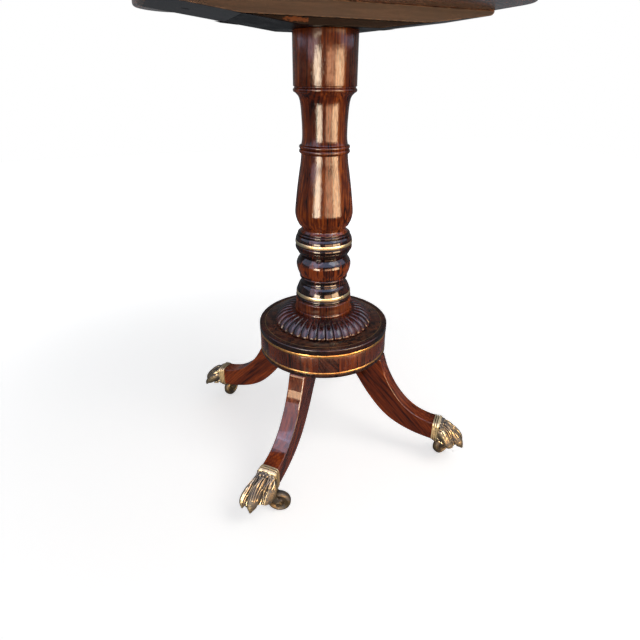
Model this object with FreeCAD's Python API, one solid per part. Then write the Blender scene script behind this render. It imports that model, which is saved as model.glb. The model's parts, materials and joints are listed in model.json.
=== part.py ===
import FreeCAD, Part
import math
import os

from FreeCAD import Vector

# A small pedestal table: a rectangular top on a cross bearer, a turned column in four lengths,
# a round platform and four scrolled legs that end in cast brass paws on swivel castors.
# All lengths are in millimetres and stand on the floor at z = 0, with the bearer along X.

# Table top
top_length = 480.0
top_depth = 335.0
top_thickness = 20.0
top_corner_radius = 57.0
top_upper_round = 7.0
top_lower_round = 3.0

# Cross bearer under the top, in two layers
bearer_end_gap = 1.0
bearer_width = 110.0
bearer_thickness = 19.0
shoe_thickness = 9.0
shoe_seat_length = 110.0
bearer_tip_depth = 6.5
bearer_screw_radius = 2.2
bearer_screw_head_radius = 4.4
bearer_screw_bite = 11.0
bearer_screw_shares = (-0.39, -0.19, 0.19, 0.39)
plug_radius = 5.0
plug_depth = 3.0

# Column, in four turned lengths that stand on each other
head_height = 153.0
head_radius = 46.0
vase_height = 128.0
vase_radius = 46.9
knop_height = 119.0
knop_radius = 48.0
foot_height = 46.0
foot_radius = 50.0
tenon_radius = 20.0
tenon_length = 22.0
tenon_gap = 0.15
root_tenon_reach = 20.0

# Two brass rings let into the knop
ring_depth = 2.4
ring_swell = 0.5
lower_ring_height = 6.0
lower_ring_seat_share = 0.067
lower_ring_radius_share = 0.977
upper_ring_height = 5.5
upper_ring_seat_share = 0.832
upper_ring_radius_share = 0.983

# Ring of carved lobes round the foot of the column
lobe_count = 36
gadroon_radius = 87.0
gadroon_height = 23.0
gadroon_lip_height = 4.0
gadroon_crown_share = 0.58
gadroon_crown_height_share = 0.84
lobe_groove_radius = 2.0

# Round platform, in layers from the bottom
platform_radius = 115.0
platform_base_thickness = 7.5
lower_band_height = 3.0
veneer_height = 29.0
upper_band_height = 4.5
platform_top_thickness = 10.0
band_depth = 2.0
veneer_thickness = 1.6
platform_arris = 1.6
string_radius = 105.0
string_width = 1.4
string_depth = 1.2

# Block under the platform that carries the legs
leg_height = 192.0
block_radius = 60.0
block_thickness = 30.0
block_screw_radius = 2.3
block_screw_head_radius = 4.8
block_screw_circle = 40.0
block_screw_length = 56.0
block_screw_count = 4
leg_tenon_width = 12.0
leg_tenon_height = 18.0
leg_tenon_length = 20.0
leg_tenon_drop = 5.0

# Legs
leg_reach = 222.0
leg_width = 28.0
ankle_depth = 36.0
leg_arris = 1.2
stub_length = 20.0
stub_shoulder = 3.0

# Brass paws
paw_length = 60.0
paw_width = 50.0
paw_floor = 2.0
claw_clearance = 27.0
band_proud = 2.0
reed_proud = 0.9
reed_width = 2.6
toe_length = 42.0
toe_width = 16.5
toe_dip_angle = 42.0
claw_radius = 3.0
claw_tip_radius = 0.8
claw_length = 9.0
claw_dip_angle = 55.0
toe_places_shares = ((-0.37, 0.66), (-0.13, 0.73), (0.13, 0.73), (0.37, 0.66))
toe_height_share = 0.36

# Castors
pivot_offset = 8.0
castor_trail = 17.0
wheel_diameter = 38.0
wheel_width = 13.0
wheel_tread_round = 3.5
wheel_dish_depth = 1.6
wheel_rim_thickness = 4.5
wheel_hub_radius = 5.2
wheel_side_gap = 0.7
wheel_swing_gap = 1.2
axle_radius = 2.3
axle_gap = 0.06
axle_head = 1.0
cheek_thickness = 2.6
cheek_eye_radius = 5.5
crown_gap = 1.0
crown_thickness = 4.0
crown_radius = 9.0
pivot_gap = 0.06
pivot_radius = 3.2
pivot_run = 0.4
pivot_flange = 1.6
pivot_flange_radius = 8.5
pivot_head_radius = 4.6
pivot_head_thickness = 2.4
pivot_shank_radius = 2.5
pivot_shank_length = 18.0

# Directions, in degrees about the upright axis: where each leg points, and where its wheel trails
leg_place_angles = {
    "front_left": (225.0, -25.0),
    "front_right": (315.0, 12.0),
    "back_right": (45.0, 22.0),
    "back_left": (135.0, 40.0),
}

full_turn = 360.0
half_turn = 180.0
right_angle = 90.0
least_length = 0.001

# Outlines, as shares of each length's radius and height, from its foot up
foot_outline_shares = (
    ((1.0, 0.0), (1.0, 0.48)),
    ((0.984, 0.5), (1.0, 0.553), (0.984, 0.609)),
    ((0.952, 0.611), (0.952, 0.628)),
    ((0.97, 0.63), (0.97, 0.978)),
    ((0.95, 1.0), (0.93, 1.0)),
)
knop_outline_shares = (
    ((0.971, 0.0), (0.971, 0.013)),
    ((0.987, 0.017), (1.0, 0.035), (0.985, 0.054)),
    ((0.977, 0.061), (0.977, 0.118)),
    ((0.969, 0.121), (0.956, 0.139), (0.923, 0.176), (0.881, 0.214), (0.846, 0.235)),
    ((0.825, 0.239), (0.825, 0.249)),
    ((0.806, 0.252), (0.777, 0.286), (0.796, 0.319)),
    ((0.823, 0.324), (0.854, 0.336), (0.825, 0.35)),
    ((0.829, 0.351), (0.875, 0.387), (0.929, 0.445), (0.963, 0.521), (0.942, 0.567),
     (0.888, 0.609), (0.8, 0.649)),
    ((0.785, 0.661), (0.821, 0.676), (0.879, 0.694), (0.921, 0.723), (0.942, 0.739)),
    ((0.95, 0.744), (0.95, 0.753)),
    ((0.971, 0.756), (0.99, 0.786), (0.973, 0.815)),
    ((0.967, 0.818), (0.967, 0.829)),
    ((0.983, 0.832), (0.983, 0.878)),
    ((0.981, 0.879), (0.971, 0.908), (0.921, 0.949)),
    ((0.883, 0.955), (0.91, 0.971), (0.885, 0.988)),
    ((0.844, 0.992), (0.844, 1.0)),
)
vase_outline_shares = (
    ((0.844, 0.0), (0.785, 0.022), (0.774, 0.039), (0.793, 0.062), (0.849, 0.083)),
    ((0.87, 0.086), (0.878, 0.092)),
    ((0.878, 0.092), (0.951, 0.148), (0.991, 0.207), (1.0, 0.258), (0.972, 0.371),
     (0.91, 0.555), (0.838, 0.734), (0.789, 0.844), (0.77, 0.922), (0.765, 0.941)),
    ((0.778, 0.945), (0.834, 0.973), (0.776, 1.0)),
)
head_outline_shares = (
    ((0.791, 0.0), (0.841, 0.018), (0.796, 0.035)),
    ((0.767, 0.039), (0.739, 0.092), (0.735, 0.176), (0.752, 0.294), (0.785, 0.405),
     (0.839, 0.464), (0.939, 0.497)),
    ((0.943, 0.499), (1.007, 0.516), (0.976, 0.537)),
    ((0.967, 0.54), (0.967, 0.549)),
    ((1.0, 0.553), (1.0, 0.995)),
    ((0.985, 1.0), (0.95, 1.0)),
)

# Leg outlines, as shares of the way out to the ankle and of the height above it
leg_upper_shares = ((0.0, 1.0), (0.093, 0.736), (0.252, 0.455), (0.449, 0.227), (0.654, 0.086),
                    (0.841, 0.023), (1.0, 0.0))
leg_lower_shares = ((0.0, 0.822), (0.08, 0.705), (0.198, 0.507), (0.34, 0.315), (0.463, 0.192),
                    (0.605, 0.103), (0.765, 0.043), (0.883, 0.017), (1.0, 0.0))

# Paw sections, as shares of its length, width and height: distance out, width, underside and top
paw_section_shares = (
    (0.0, 0.66, 0.27, 1.0),
    (0.17, 0.69, 0.27, 1.0),
    (0.42, 0.82, 0.27, 0.9),
    (0.66, 0.9, 0.23, 0.68),
    (0.84, 0.84, 0.12, 0.45),
    (0.97, 0.6, 0.1, 0.25),
)

# Lengths and heights worked out from the others
bearer_length = top_length - 2 * bearer_end_gap
pivot_reach = leg_reach + pivot_offset
knop_foot = leg_height + platform_base_thickness + lower_band_height + veneer_height
knop_foot = knop_foot + upper_band_height + platform_top_thickness + foot_height
platform_level = knop_foot - foot_height
vase_foot = knop_foot + knop_height
head_foot = vase_foot + vase_height
shoe_foot = head_foot + head_height
bearer_foot = shoe_foot + shoe_thickness
top_foot = bearer_foot + bearer_thickness
overall_height = top_foot + top_thickness
axle_level = wheel_diameter / 2
crown_foot = wheel_diameter + crown_gap
crown_level = crown_foot + crown_thickness
flange_foot = crown_level + pivot_run
paw_seat = flange_foot + pivot_flange
ankle_foot = paw_seat + paw_floor
ankle_level = ankle_foot + ankle_depth
paw_level = ankle_level + band_proud
fork_half_width = wheel_width / 2 + wheel_side_gap + cheek_thickness
wheel_swing = math.hypot(castor_trail + wheel_diameter / 2, fork_half_width)

up = Vector(0, 0, 1)
along_x = Vector(1, 0, 0)
along_y = Vector(0, 1, 0)

os.makedirs("parts", exist_ok=True)


def save(name, shape):
    if not shape.isValid() or not shape.Solids:
        print("not a sound solid:", name)
    shape.exportStep("parts/" + name + ".step")


def edge_through(points):
    # two points make a line, three an arc, and more a smooth curve
    if len(points) == 2:
        return Part.LineSegment(points[0], points[1]).toShape()
    if len(points) == 3:
        return Part.Arc(points[0], points[1], points[2]).toShape()
    curve = Part.BSplineCurve()
    curve.interpolate(points)
    return curve.toShape()


def wire_through(runs):
    # runs of points in order, with a straight edge wherever one run ends away from the next
    edges = []
    last = runs[-1][-1]
    for run in runs:
        if last.distanceToPoint(run[0]) > least_length:
            edges.append(edge_through([last, run[0]]))
        edges.append(edge_through(run))
        last = run[-1]
    return Part.Wire(edges)


def turned(outline_shares, radius, height, foot):
    runs = [[Vector(0, 0, foot + height), Vector(0, 0, foot)]]
    for run_shares in outline_shares:
        runs.append([Vector(radius * out, 0, foot + height * rise) for out, rise in run_shares])
    return Part.Face(wire_through(runs)).revolve(Vector(), up, full_turn)


def disc(radius, low, high, centre=Vector()):
    return Part.makeCylinder(radius, high - low, centre + up * low)


def band(inner, outer, low, high):
    return disc(outer, low, high).cut(disc(inner, low, high))


def swollen_band(inner, outer, swell, low, high):
    # a ring whose outer face bulges by the swell at mid height
    middle = Vector(outer + swell, 0, (low + high) / 2)
    runs = [
        [Vector(inner, 0, high), Vector(inner, 0, low)],
        [Vector(outer, 0, low), middle, Vector(outer, 0, high)],
    ]
    return Part.Face(wire_through(runs)).revolve(Vector(), up, full_turn)


def rounded(shape, radius, keep):
    # rounds the edges that the test keeps
    return shape.makeFillet(radius, [edge for edge in shape.Edges if keep(edge)])


def lies_at(level):
    def keep(edge):
        box = edge.BoundBox
        return abs(box.ZMin - level) < least_length and abs(box.ZMax - level) < least_length
    return keep


def put(shape, angle, reach=0.0):
    # carries a piece made at the axis out along X and round to its leg
    placed = shape.copy()
    placed.translate(along_x * reach)
    placed.rotate(Vector(), up, angle)
    return placed


# Column


def with_tenon(body, foot, height):
    return body.fuse(disc(tenon_radius, foot + height, foot + height + tenon_length))


def with_mortise(body, foot):
    return body.cut(disc(tenon_radius + tenon_gap, foot, foot + tenon_length + tenon_gap))


def column_foot():
    body = turned(foot_outline_shares, foot_radius, foot_height, platform_level)
    body = with_tenon(body, platform_level, foot_height)
    return body.fuse(disc(tenon_radius, leg_height - root_tenon_reach, platform_level))


def brass_ring(seat_share, radius_share, height):
    low = knop_foot + knop_height * seat_share
    outer = knop_radius * radius_share
    return swollen_band(outer - ring_depth, outer, ring_swell, low, low + height)


def column_knop(rings):
    body = turned(knop_outline_shares, knop_radius, knop_height, knop_foot)
    body = with_tenon(body, knop_foot, knop_height)
    return with_mortise(body, knop_foot).cut(rings)


def column_vase():
    body = turned(vase_outline_shares, vase_radius, vase_height, vase_foot)
    return with_mortise(with_tenon(body, vase_foot, vase_height), vase_foot)


def column_head():
    body = turned(head_outline_shares, head_radius, head_height, head_foot)
    return with_mortise(with_tenon(body, head_foot, head_height), head_foot)


def gadroon_ring():
    # the section's crown is one arc from the top of the ring to its lip, and each groove follows it
    spread = gadroon_radius - foot_radius
    inner_top = Vector(foot_radius, 0, platform_level + gadroon_height)
    crown = Vector(foot_radius + spread * gadroon_crown_share, 0,
                   platform_level + gadroon_height * gadroon_crown_height_share)
    lip = Vector(gadroon_radius, 0, platform_level + gadroon_lip_height)
    under = Vector(gadroon_radius - gadroon_lip_height, 0, platform_level)
    bottom = Vector(foot_radius, 0, platform_level)
    circle = edge_through([lip, crown, inner_top]).Curve
    section = Part.Face(wire_through([[bottom, under], [lip, crown, inner_top]]))
    ring = section.revolve(Vector(), up, full_turn)
    start = circle.Center + up * circle.Radius
    groove_end = Part.Face(Part.Wire(Part.Circle(start, along_x, lobe_groove_radius).toShape()))
    groove_end.rotate(circle.Center, along_y, -right_angle / 2)
    groove = groove_end.revolve(circle.Center, along_y, half_turn)
    grooves = [put(groove, full_turn * turn / lobe_count) for turn in range(lobe_count)]
    return ring.cut(grooves)


# Platform, in layers


def root_mortise():
    return disc(tenon_radius + tenon_gap, leg_height - root_tenon_reach - tenon_gap, platform_level)


def platform_layers(screws):
    base_level = leg_height + platform_base_thickness
    lower_band_level = base_level + lower_band_height
    veneer_level = lower_band_level + veneer_height
    core_level = veneer_level + upper_band_height
    core_radius = platform_radius - band_depth
    string_inner = string_radius - string_width / 2
    string = band(string_inner, string_inner + string_width, platform_level - string_depth, platform_level)
    top = rounded(disc(platform_radius, core_level, platform_level), platform_arris, lies_at(platform_level))
    layers = {
        "platform_base": disc(platform_radius, leg_height, base_level).cut(screws),
        "platform_core": disc(core_radius, base_level, core_level).cut(screws),
        "platform_top": top.cut(string),
    }
    for name in layers:
        layers[name] = layers[name].cut(root_mortise())
    layers["platform_string"] = string
    layers["platform_band_lower"] = band(core_radius, platform_radius, base_level, lower_band_level)
    veneer_radius = core_radius + veneer_thickness
    layers["platform_veneer"] = band(core_radius, veneer_radius, lower_band_level, veneer_level)
    layers["platform_band_upper"] = band(core_radius, platform_radius, veneer_level, core_level)
    return layers


# Block and legs


def countersunk_screw(shank_radius, head_radius, length):
    # stands on its head at the origin
    head = Part.makeCone(head_radius, shank_radius, head_radius - shank_radius)
    return head.fuse(Part.makeCylinder(shank_radius, length))


def block_screws():
    screw = countersunk_screw(block_screw_radius, block_screw_head_radius, block_screw_length)
    screw.translate(up * (leg_height - block_thickness))
    turns = [full_turn * turn / block_screw_count for turn in range(block_screw_count)]
    return Part.Compound([put(screw, turn, block_screw_circle) for turn in turns])


def leg_tenon():
    inner = block_radius - leg_tenon_length
    corner = Vector(inner, -leg_tenon_width / 2, leg_height - leg_tenon_drop - leg_tenon_height)
    return Part.makeBox(leg_tenon_length + leg_tenon_width, leg_tenon_width, leg_tenon_height, corner)


def leg_block(screws):
    body = disc(block_radius, leg_height - block_thickness, leg_height)
    tenons = [put(leg_tenon(), angle) for angle, trail in leg_place_angles.values()]
    return body.cut(tenons).cut(root_mortise()).cut(screws)


def leg():
    inner = block_radius - leg_width / 2
    upper_run = [Vector(platform_radius + (leg_reach - platform_radius) * out, 0,
                        ankle_level + (leg_height - ankle_level) * rise) for out, rise in leg_upper_shares]
    lower_run = [Vector(block_radius + (leg_reach - block_radius) * out, 0,
                        ankle_foot + (leg_height - ankle_foot) * rise) for out, rise in leg_lower_shares]
    lower_run.reverse()
    inner_run = [Vector(inner, 0, lower_run[-1].z), Vector(inner, 0, leg_height)]
    face = Part.Face(wire_through([upper_run, lower_run, inner_run]))
    face.translate(along_y * (-leg_width / 2))
    body = face.extrude(along_y * leg_width)
    curved = [edge for edge in body.Edges if isinstance(edge.Curve, Part.BSplineCurve)]
    body = body.makeFillet(leg_arris, curved)
    body = body.cut(disc(block_radius, 0, overall_height)).fuse(leg_tenon())
    shank = disc(pivot_shank_radius, paw_seat, paw_seat + pivot_shank_length, along_x * pivot_reach)
    return body.fuse(leg_stub()).removeSplitter().cut(shank)


def leg_stub():
    corner = Vector(leg_reach - stub_shoulder, stub_shoulder - leg_width / 2, ankle_foot)
    width = leg_width - 2 * stub_shoulder
    return Part.makeBox(stub_length + stub_shoulder, width, ankle_depth - stub_shoulder, corner)


# Paws


def paw_ring(out, width, low, high):
    # a closed upright section across the paw, squarer than an ellipse
    corner_share = 0.82
    half = width / 2
    middle = (low + high) / 2
    rise = (high - low) / 2
    places_shares = ((1, 0), (corner_share, corner_share), (0, 1), (-corner_share, corner_share),
                     (-1, 0), (-corner_share, -corner_share), (0, -1), (corner_share, -corner_share))
    curve = Part.BSplineCurve()
    points = [Vector(out, half * across, middle + rise * above) for across, above in places_shares]
    curve.interpolate(Points=points, PeriodicFlag=True)
    return Part.Wire(curve.toShape())


def paw_body():
    tall = paw_level - claw_clearance
    rings = []
    for out_share, width_share, low_share, high_share in paw_section_shares:
        rings.append(paw_ring(leg_reach + paw_length * out_share, paw_width * width_share,
                              claw_clearance + tall * low_share, claw_clearance + tall * high_share))
    return Part.makeLoft(rings, True, False)


def reed(out):
    first = paw_section_shares[0]
    tall = paw_level - claw_clearance
    section = paw_ring(out, paw_width * first[1] + 2 * reed_proud,
                       claw_clearance + tall * first[2], claw_clearance + tall * first[3] + reed_proud)
    return Part.Face(section).extrude(along_x * reed_width)


def toe(across_share, out_share):
    # a long round knuckle that dips forward, with a claw at its tip
    nose_end = Vector(toe_length / 2, 0, 0)
    heel_end = Vector(-toe_length / 2, 0, 0)
    ellipse = Part.Ellipse(nose_end, Vector(0, 0, toe_width / 2), Vector())
    outline = Part.Arc(ellipse, 0, math.pi).toShape()
    half = Part.Face(Part.Wire([outline, edge_through([heel_end, nose_end])]))
    knuckle = half.revolve(Vector(), along_x, full_turn)
    knuckle.rotate(Vector(), along_y, toe_dip_angle)
    nose = toe_length / 2 * math.cos(math.radians(toe_dip_angle))
    drop = toe_length / 2 * math.sin(math.radians(toe_dip_angle))
    claw = Part.makeCone(claw_radius, claw_tip_radius, claw_length)
    claw.rotate(Vector(), along_y, right_angle + claw_dip_angle)
    claw.translate(Vector(nose - claw_radius, 0, claw_radius - drop))
    body = knuckle.fuse(claw)
    level = claw_clearance + (paw_level - claw_clearance) * toe_height_share
    body.translate(Vector(leg_reach + paw_length * out_share, paw_width * across_share, level))
    return body


def paw_cap():
    body = paw_body()
    for across, out in toe_places_shares:
        body = body.fuse(toe(across, out))
    body = body.fuse(reed(leg_reach)).fuse(reed(leg_reach + 2 * reed_width))
    pivot = along_x * pivot_reach
    swing = disc(wheel_swing + wheel_swing_gap, 0, paw_seat, pivot)
    shank = disc(pivot_shank_radius, paw_seat, paw_seat + pivot_shank_length, pivot)
    return body.cut(swing).cut(leg_stub()).cut(shank)


# Castors, made with the pivot on the axis and the wheel trailing along X


def axle(radius, half_width):
    return Part.makeCylinder(radius, 2 * half_width, Vector(castor_trail, -half_width, axle_level), along_y)


def castor_pivot():
    body = disc(pivot_radius, crown_foot - pivot_run, flange_foot)
    body = body.fuse(disc(pivot_flange_radius, flange_foot, paw_seat))
    body = body.fuse(disc(pivot_shank_radius, paw_seat, paw_seat + pivot_shank_length))
    head_level = crown_foot - pivot_run
    return body.fuse(disc(pivot_head_radius, head_level - pivot_head_thickness, head_level))


def castor_horn():
    cheek_top = Vector(castor_trail + crown_radius, 0, crown_foot)
    cheek_front = Vector(0, 0, crown_foot)
    eye_front = Vector(castor_trail - cheek_eye_radius, 0, axle_level)
    eye_back = Vector(castor_trail + cheek_eye_radius, 0, axle_level)
    eye_foot = Vector(castor_trail, 0, axle_level - cheek_eye_radius)
    outline = wire_through([[eye_front, eye_foot, eye_back], [cheek_top, cheek_front]])
    cheek = Part.Face(outline).extrude(along_y * cheek_thickness)
    near = cheek.copy()
    near.translate(along_y * -fork_half_width)
    far = cheek.copy()
    far.translate(along_y * (fork_half_width - cheek_thickness))
    plate_corner = Vector(0, -fork_half_width, crown_foot)
    plate = Part.makeBox(castor_trail + crown_radius, 2 * fork_half_width, crown_thickness, plate_corner)
    body = disc(fork_half_width, crown_foot, crown_level).fuse([plate, near, far])
    pivot_hole = disc(pivot_radius + pivot_gap, crown_foot, crown_level)
    return body.removeSplitter().cut([pivot_hole, axle(axle_radius, fork_half_width)])


def castor_axle():
    return axle(axle_radius, fork_half_width + axle_head)


def castor_wheel():
    half = wheel_width / 2
    radius = wheel_diameter / 2
    body = Part.makeCylinder(radius, wheel_width, Vector(castor_trail, -half, axle_level), along_y)
    rim = [edge for edge in body.Edges if isinstance(edge.Curve, Part.Circle)]
    body = body.makeFillet(wheel_tread_round, rim)
    centre = Vector(castor_trail, 0, axle_level)
    dish = Part.makeCylinder(radius - wheel_rim_thickness, wheel_dish_depth, centre, along_y)
    dish = dish.cut(axle(wheel_hub_radius, half))
    near = dish.copy()
    near.translate(along_y * -half)
    far = dish.copy()
    far.translate(along_y * (half - wheel_dish_depth))
    return body.cut([near, far, axle(axle_radius + axle_gap, half)])


# Bearer and top


def bearer_blank():
    half = bearer_length / 2
    seat = shoe_seat_length / 2
    tip_foot = top_foot - bearer_tip_depth
    bend = bearer_tip_depth * math.sqrt(0.5)
    right_tip = [Vector(half - bearer_tip_depth, 0, tip_foot),
                 Vector(half - bearer_tip_depth + bend, 0, top_foot - bend),
                 Vector(half, 0, top_foot)]
    left_tip = [Vector(-point.x, 0, point.z) for point in reversed(right_tip)]
    foot_run = [Vector(-seat, 0, shoe_foot), Vector(seat, 0, shoe_foot)]
    face = Part.Face(wire_through([left_tip, foot_run, right_tip]))
    face.translate(along_y * (-bearer_width / 2))
    return face.extrude(along_y * bearer_width)


def bearer_rise(out):
    # height of the bearer's underside at a distance from the middle
    seat = shoe_seat_length / 2
    run = bearer_length / 2 - bearer_tip_depth - seat
    rise = shoe_thickness + bearer_thickness - bearer_tip_depth
    return shoe_foot + rise * max(0, abs(out) - seat) / run


def bearer_fixings():
    screws = []
    pellets = []
    for place_share in bearer_screw_shares:
        place = bearer_length * place_share
        head_level = bearer_rise(place) + plug_depth
        screw = countersunk_screw(bearer_screw_radius, bearer_screw_head_radius,
                                  top_foot + bearer_screw_bite - head_level)
        screw.translate(Vector(place, 0, head_level))
        screws.append(screw)
        pellets.append(disc(plug_radius, shoe_foot, head_level, along_x * place))
    return Part.Compound(screws), pellets


def head_mortise():
    return disc(tenon_radius + tenon_gap, shoe_foot, shoe_foot + tenon_length + tenon_gap)


def bearer_parts(screws, pellets):
    blank = bearer_blank()
    half_width = bearer_width / 2
    split = Part.makeBox(bearer_length, bearer_width, shoe_thickness,
                         Vector(-bearer_length / 2, -half_width, shoe_foot))
    body = blank.cut(pellets).cut(head_mortise()).cut(screws)
    plugs = Part.Compound([pellet.common(blank) for pellet in pellets])
    return body.cut(split), body.common(split), plugs


def table_top(screws):
    corner = Vector(-top_length / 2, -top_depth / 2, top_foot)
    board = Part.makeBox(top_length, top_depth, top_thickness, corner)
    upright = [edge for edge in board.Edges if edge.BoundBox.ZLength > top_thickness / 2]
    board = board.makeFillet(top_corner_radius, upright)
    board = rounded(board, top_upper_round, lies_at(overall_height))
    board = rounded(board, top_lower_round, lies_at(top_foot))
    return board.cut(screws)


# Everything, in place

rings = {
    "brass_ring_lower": brass_ring(lower_ring_seat_share, lower_ring_radius_share, lower_ring_height),
    "brass_ring_upper": brass_ring(upper_ring_seat_share, upper_ring_radius_share, upper_ring_height),
}
for ring_name, ring_shape in rings.items():
    save(ring_name, ring_shape)

save("column_foot", column_foot())
save("column_knop", column_knop(list(rings.values())))
save("column_vase", column_vase())
save("column_head", column_head())
save("gadroon_ring", gadroon_ring())

lower_screws = block_screws()
save("block_screws", lower_screws)
save("leg_block", leg_block(lower_screws))
for layer_name, layer_shape in platform_layers(lower_screws).items():
    save(layer_name, layer_shape)

upper_screws, blank_pellets = bearer_fixings()
cross_bearer, bearer_shoe, bearer_plugs = bearer_parts(upper_screws, blank_pellets)
save("bearer_screws", upper_screws)
save("bearer_plugs", bearer_plugs)
save("cross_bearer", cross_bearer)
save("bearer_shoe", bearer_shoe)
save("table_top", table_top(upper_screws))

one_leg = leg()
one_paw = paw_cap()
castor_pieces = {
    "castor_pivot": castor_pivot(),
    "castor_horn": castor_horn(),
    "castor_axle": castor_axle(),
    "castor_wheel": castor_wheel(),
}
for place, (leg_angle, trail_angle) in leg_place_angles.items():
    save("leg_" + place, put(one_leg, leg_angle))
    save("paw_" + place, put(one_paw, leg_angle))
    for piece_name, piece in castor_pieces.items():
        turned_piece = put(piece, trail_angle)
        seat = put(Part.Vertex(pivot_reach, 0, 0), leg_angle).Point
        turned_piece.translate(seat)
        save(piece_name + "_" + place, turned_piece)
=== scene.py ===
import json
import math

import bmesh
import bpy
from mathutils import Matrix, Vector


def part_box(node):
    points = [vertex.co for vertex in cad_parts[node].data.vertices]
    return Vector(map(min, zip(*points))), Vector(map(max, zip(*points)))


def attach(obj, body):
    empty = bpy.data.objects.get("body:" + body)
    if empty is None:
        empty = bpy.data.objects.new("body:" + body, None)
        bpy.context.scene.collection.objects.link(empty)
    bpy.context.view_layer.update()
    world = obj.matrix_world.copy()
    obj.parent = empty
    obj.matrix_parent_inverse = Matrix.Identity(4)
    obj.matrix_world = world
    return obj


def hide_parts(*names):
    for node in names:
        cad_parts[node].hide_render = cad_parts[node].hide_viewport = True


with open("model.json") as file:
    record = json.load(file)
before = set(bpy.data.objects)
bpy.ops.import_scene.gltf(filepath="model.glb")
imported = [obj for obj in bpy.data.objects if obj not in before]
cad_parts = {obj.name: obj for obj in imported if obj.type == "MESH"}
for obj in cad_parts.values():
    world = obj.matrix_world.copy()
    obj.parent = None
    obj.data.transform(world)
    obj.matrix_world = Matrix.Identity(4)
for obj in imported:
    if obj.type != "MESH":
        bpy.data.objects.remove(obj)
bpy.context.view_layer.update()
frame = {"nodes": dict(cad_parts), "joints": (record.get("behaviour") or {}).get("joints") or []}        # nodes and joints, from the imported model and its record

mm = 0.001
joints = {joint["name"]: joint for joint in frame["joints"]}
places = ("front_left", "front_right", "back_right", "back_left")
print("frame loaded:", len(frame["nodes"]), "nodes")


# Selecting and finishing, shared by all pieces

def clearSelection():
    if bpy.context.object and bpy.context.object.mode != "OBJECT":
        bpy.ops.object.mode_set(mode="OBJECT")
    bpy.ops.object.select_all(action="DESELECT")


def onlySelect(piece):
    clearSelection()
    piece.select_set(True)
    bpy.context.view_layer.objects.active = piece


def editMesh(piece):
    # edit mode on one piece, with nothing selected in it
    onlySelect(piece)
    bpy.ops.object.mode_set(mode="EDIT")
    bpy.ops.mesh.select_all(action="DESELECT")
    return bmesh.from_edit_mesh(piece.data)


def choose(piece, kind, test):
    # selects the faces, edges or vertices that pass the test, and nothing else
    mesh = bmesh.from_edit_mesh(piece.data)
    bpy.ops.mesh.select_mode(type=kind)
    bpy.ops.mesh.select_all(action="DESELECT")
    for part in {"FACE": mesh.faces, "EDGE": mesh.edges, "VERT": mesh.verts}[kind]:
        if test(part):
            part.select_set(True)
    mesh.select_flush_mode()
    bmesh.update_edit_mesh(piece.data)


def settle(piece):
    # the place goes into the mesh
    onlySelect(piece)
    bpy.ops.object.transform_apply(location=True, rotation=True, scale=True)


def closeUp(piece, gap=0.002 * mm):
    # joins the seam and the poles, and turns every face outwards
    editMesh(piece)
    bpy.ops.mesh.select_all(action="SELECT")
    bpy.ops.mesh.remove_doubles(threshold=gap)
    bpy.ops.mesh.normals_make_consistent(inside=False)
    bpy.ops.object.mode_set(mode="OBJECT")


def applyModifier(piece, kind, **settings):
    onlySelect(piece)
    modifier = piece.modifiers.new(kind.lower(), kind)
    for name, value in settings.items():
        setattr(modifier, name, value)
    bpy.ops.object.modifier_apply(modifier=modifier.name)


def shadeSmooth(piece, angle):
    onlySelect(piece)
    bpy.ops.object.shade_smooth_by_angle(angle=math.radians(angle))


def softenEdges(piece, width, segments=2, angle=32, smooth=38):
    applyModifier(piece, "BEVEL", width=width, segments=segments, limit_method="ANGLE",
                  angle_limit=math.radians(angle), use_clamp_overlap=True)
    shadeSmooth(piece, smooth)


def castTogether(piece, voxel, turns):
    # one skin over forms that overlap, smoothed a few times as a casting is
    applyModifier(piece, "REMESH", mode="VOXEL", voxel_size=voxel)
    applyModifier(piece, "SMOOTH", factor=0.5, iterations=turns)


def keepFlat(piece, width, test):
    # a narrow border inside the chosen faces, so that edge wear stays at the edge
    editMesh(piece)
    choose(piece, "FACE", test)
    bpy.ops.mesh.inset(thickness=width, depth=0)
    bpy.ops.object.mode_set(mode="OBJECT")


def moveVerts(piece, rule):
    # each vertex goes where the rule sends it
    for vert in piece.data.vertices:
        vert.co = rule(vert.co)
    piece.data.update()


def unit(value):
    # kept between 0 and 1
    return min(1.0, max(0.0, value))


def eased(value):
    value = unit(value)
    return value * value * (3 - 2 * value)


def finishPiece(piece, body, material, node):
    piece.data.materials.clear()
    piece.data.materials.append(material)
    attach(piece, body)
    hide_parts(node)


def copyPiece(piece, name, matrix=Matrix()):
    twin = piece.copy()
    twin.data = piece.data.copy()
    twin.name = name
    bpy.context.collection.objects.link(twin)
    twin.data.transform(matrix)
    return twin


def joinPieces(pieces, name):
    clearSelection()
    for piece in pieces:
        piece.select_set(True)
    bpy.context.view_layer.objects.active = pieces[0]
    bpy.ops.object.join()
    pieces[0].name = name
    return pieces[0]


def dropPiece(piece):
    bpy.data.objects.remove(piece, do_unlink=True)


# Node trees

def colour(red, green, blue):
    # a colour as read on the screen, from 0 to 255, in the linear values that a shader takes
    linear = []
    for value in (red / 255, green / 255, blue / 255):
        linear.append(value / 12.92 if value <= 0.04045 else ((value + 0.055) / 1.055) ** 2.4)
    return (*linear, 1.0)


def feed(tree, node, inputs):
    # links a socket, and sets anything else as the input's own value
    for name, value in inputs.items():
        if isinstance(value, bpy.types.NodeSocket):
            tree.links.new(value, node.inputs[name])
        else:
            node.inputs[name].default_value = value


def addNode(tree, kind, inputs=None, **settings):
    made = tree.nodes.new("ShaderNode" + kind)
    for name, value in settings.items():
        setattr(made, name, value)
    feed(tree, made, inputs or {})
    return made


def mixColours(tree, factor, first, second):
    return addNode(tree, "Mix", {0: factor, 6: first, 7: second}, data_type="RGBA").outputs[2]


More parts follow.
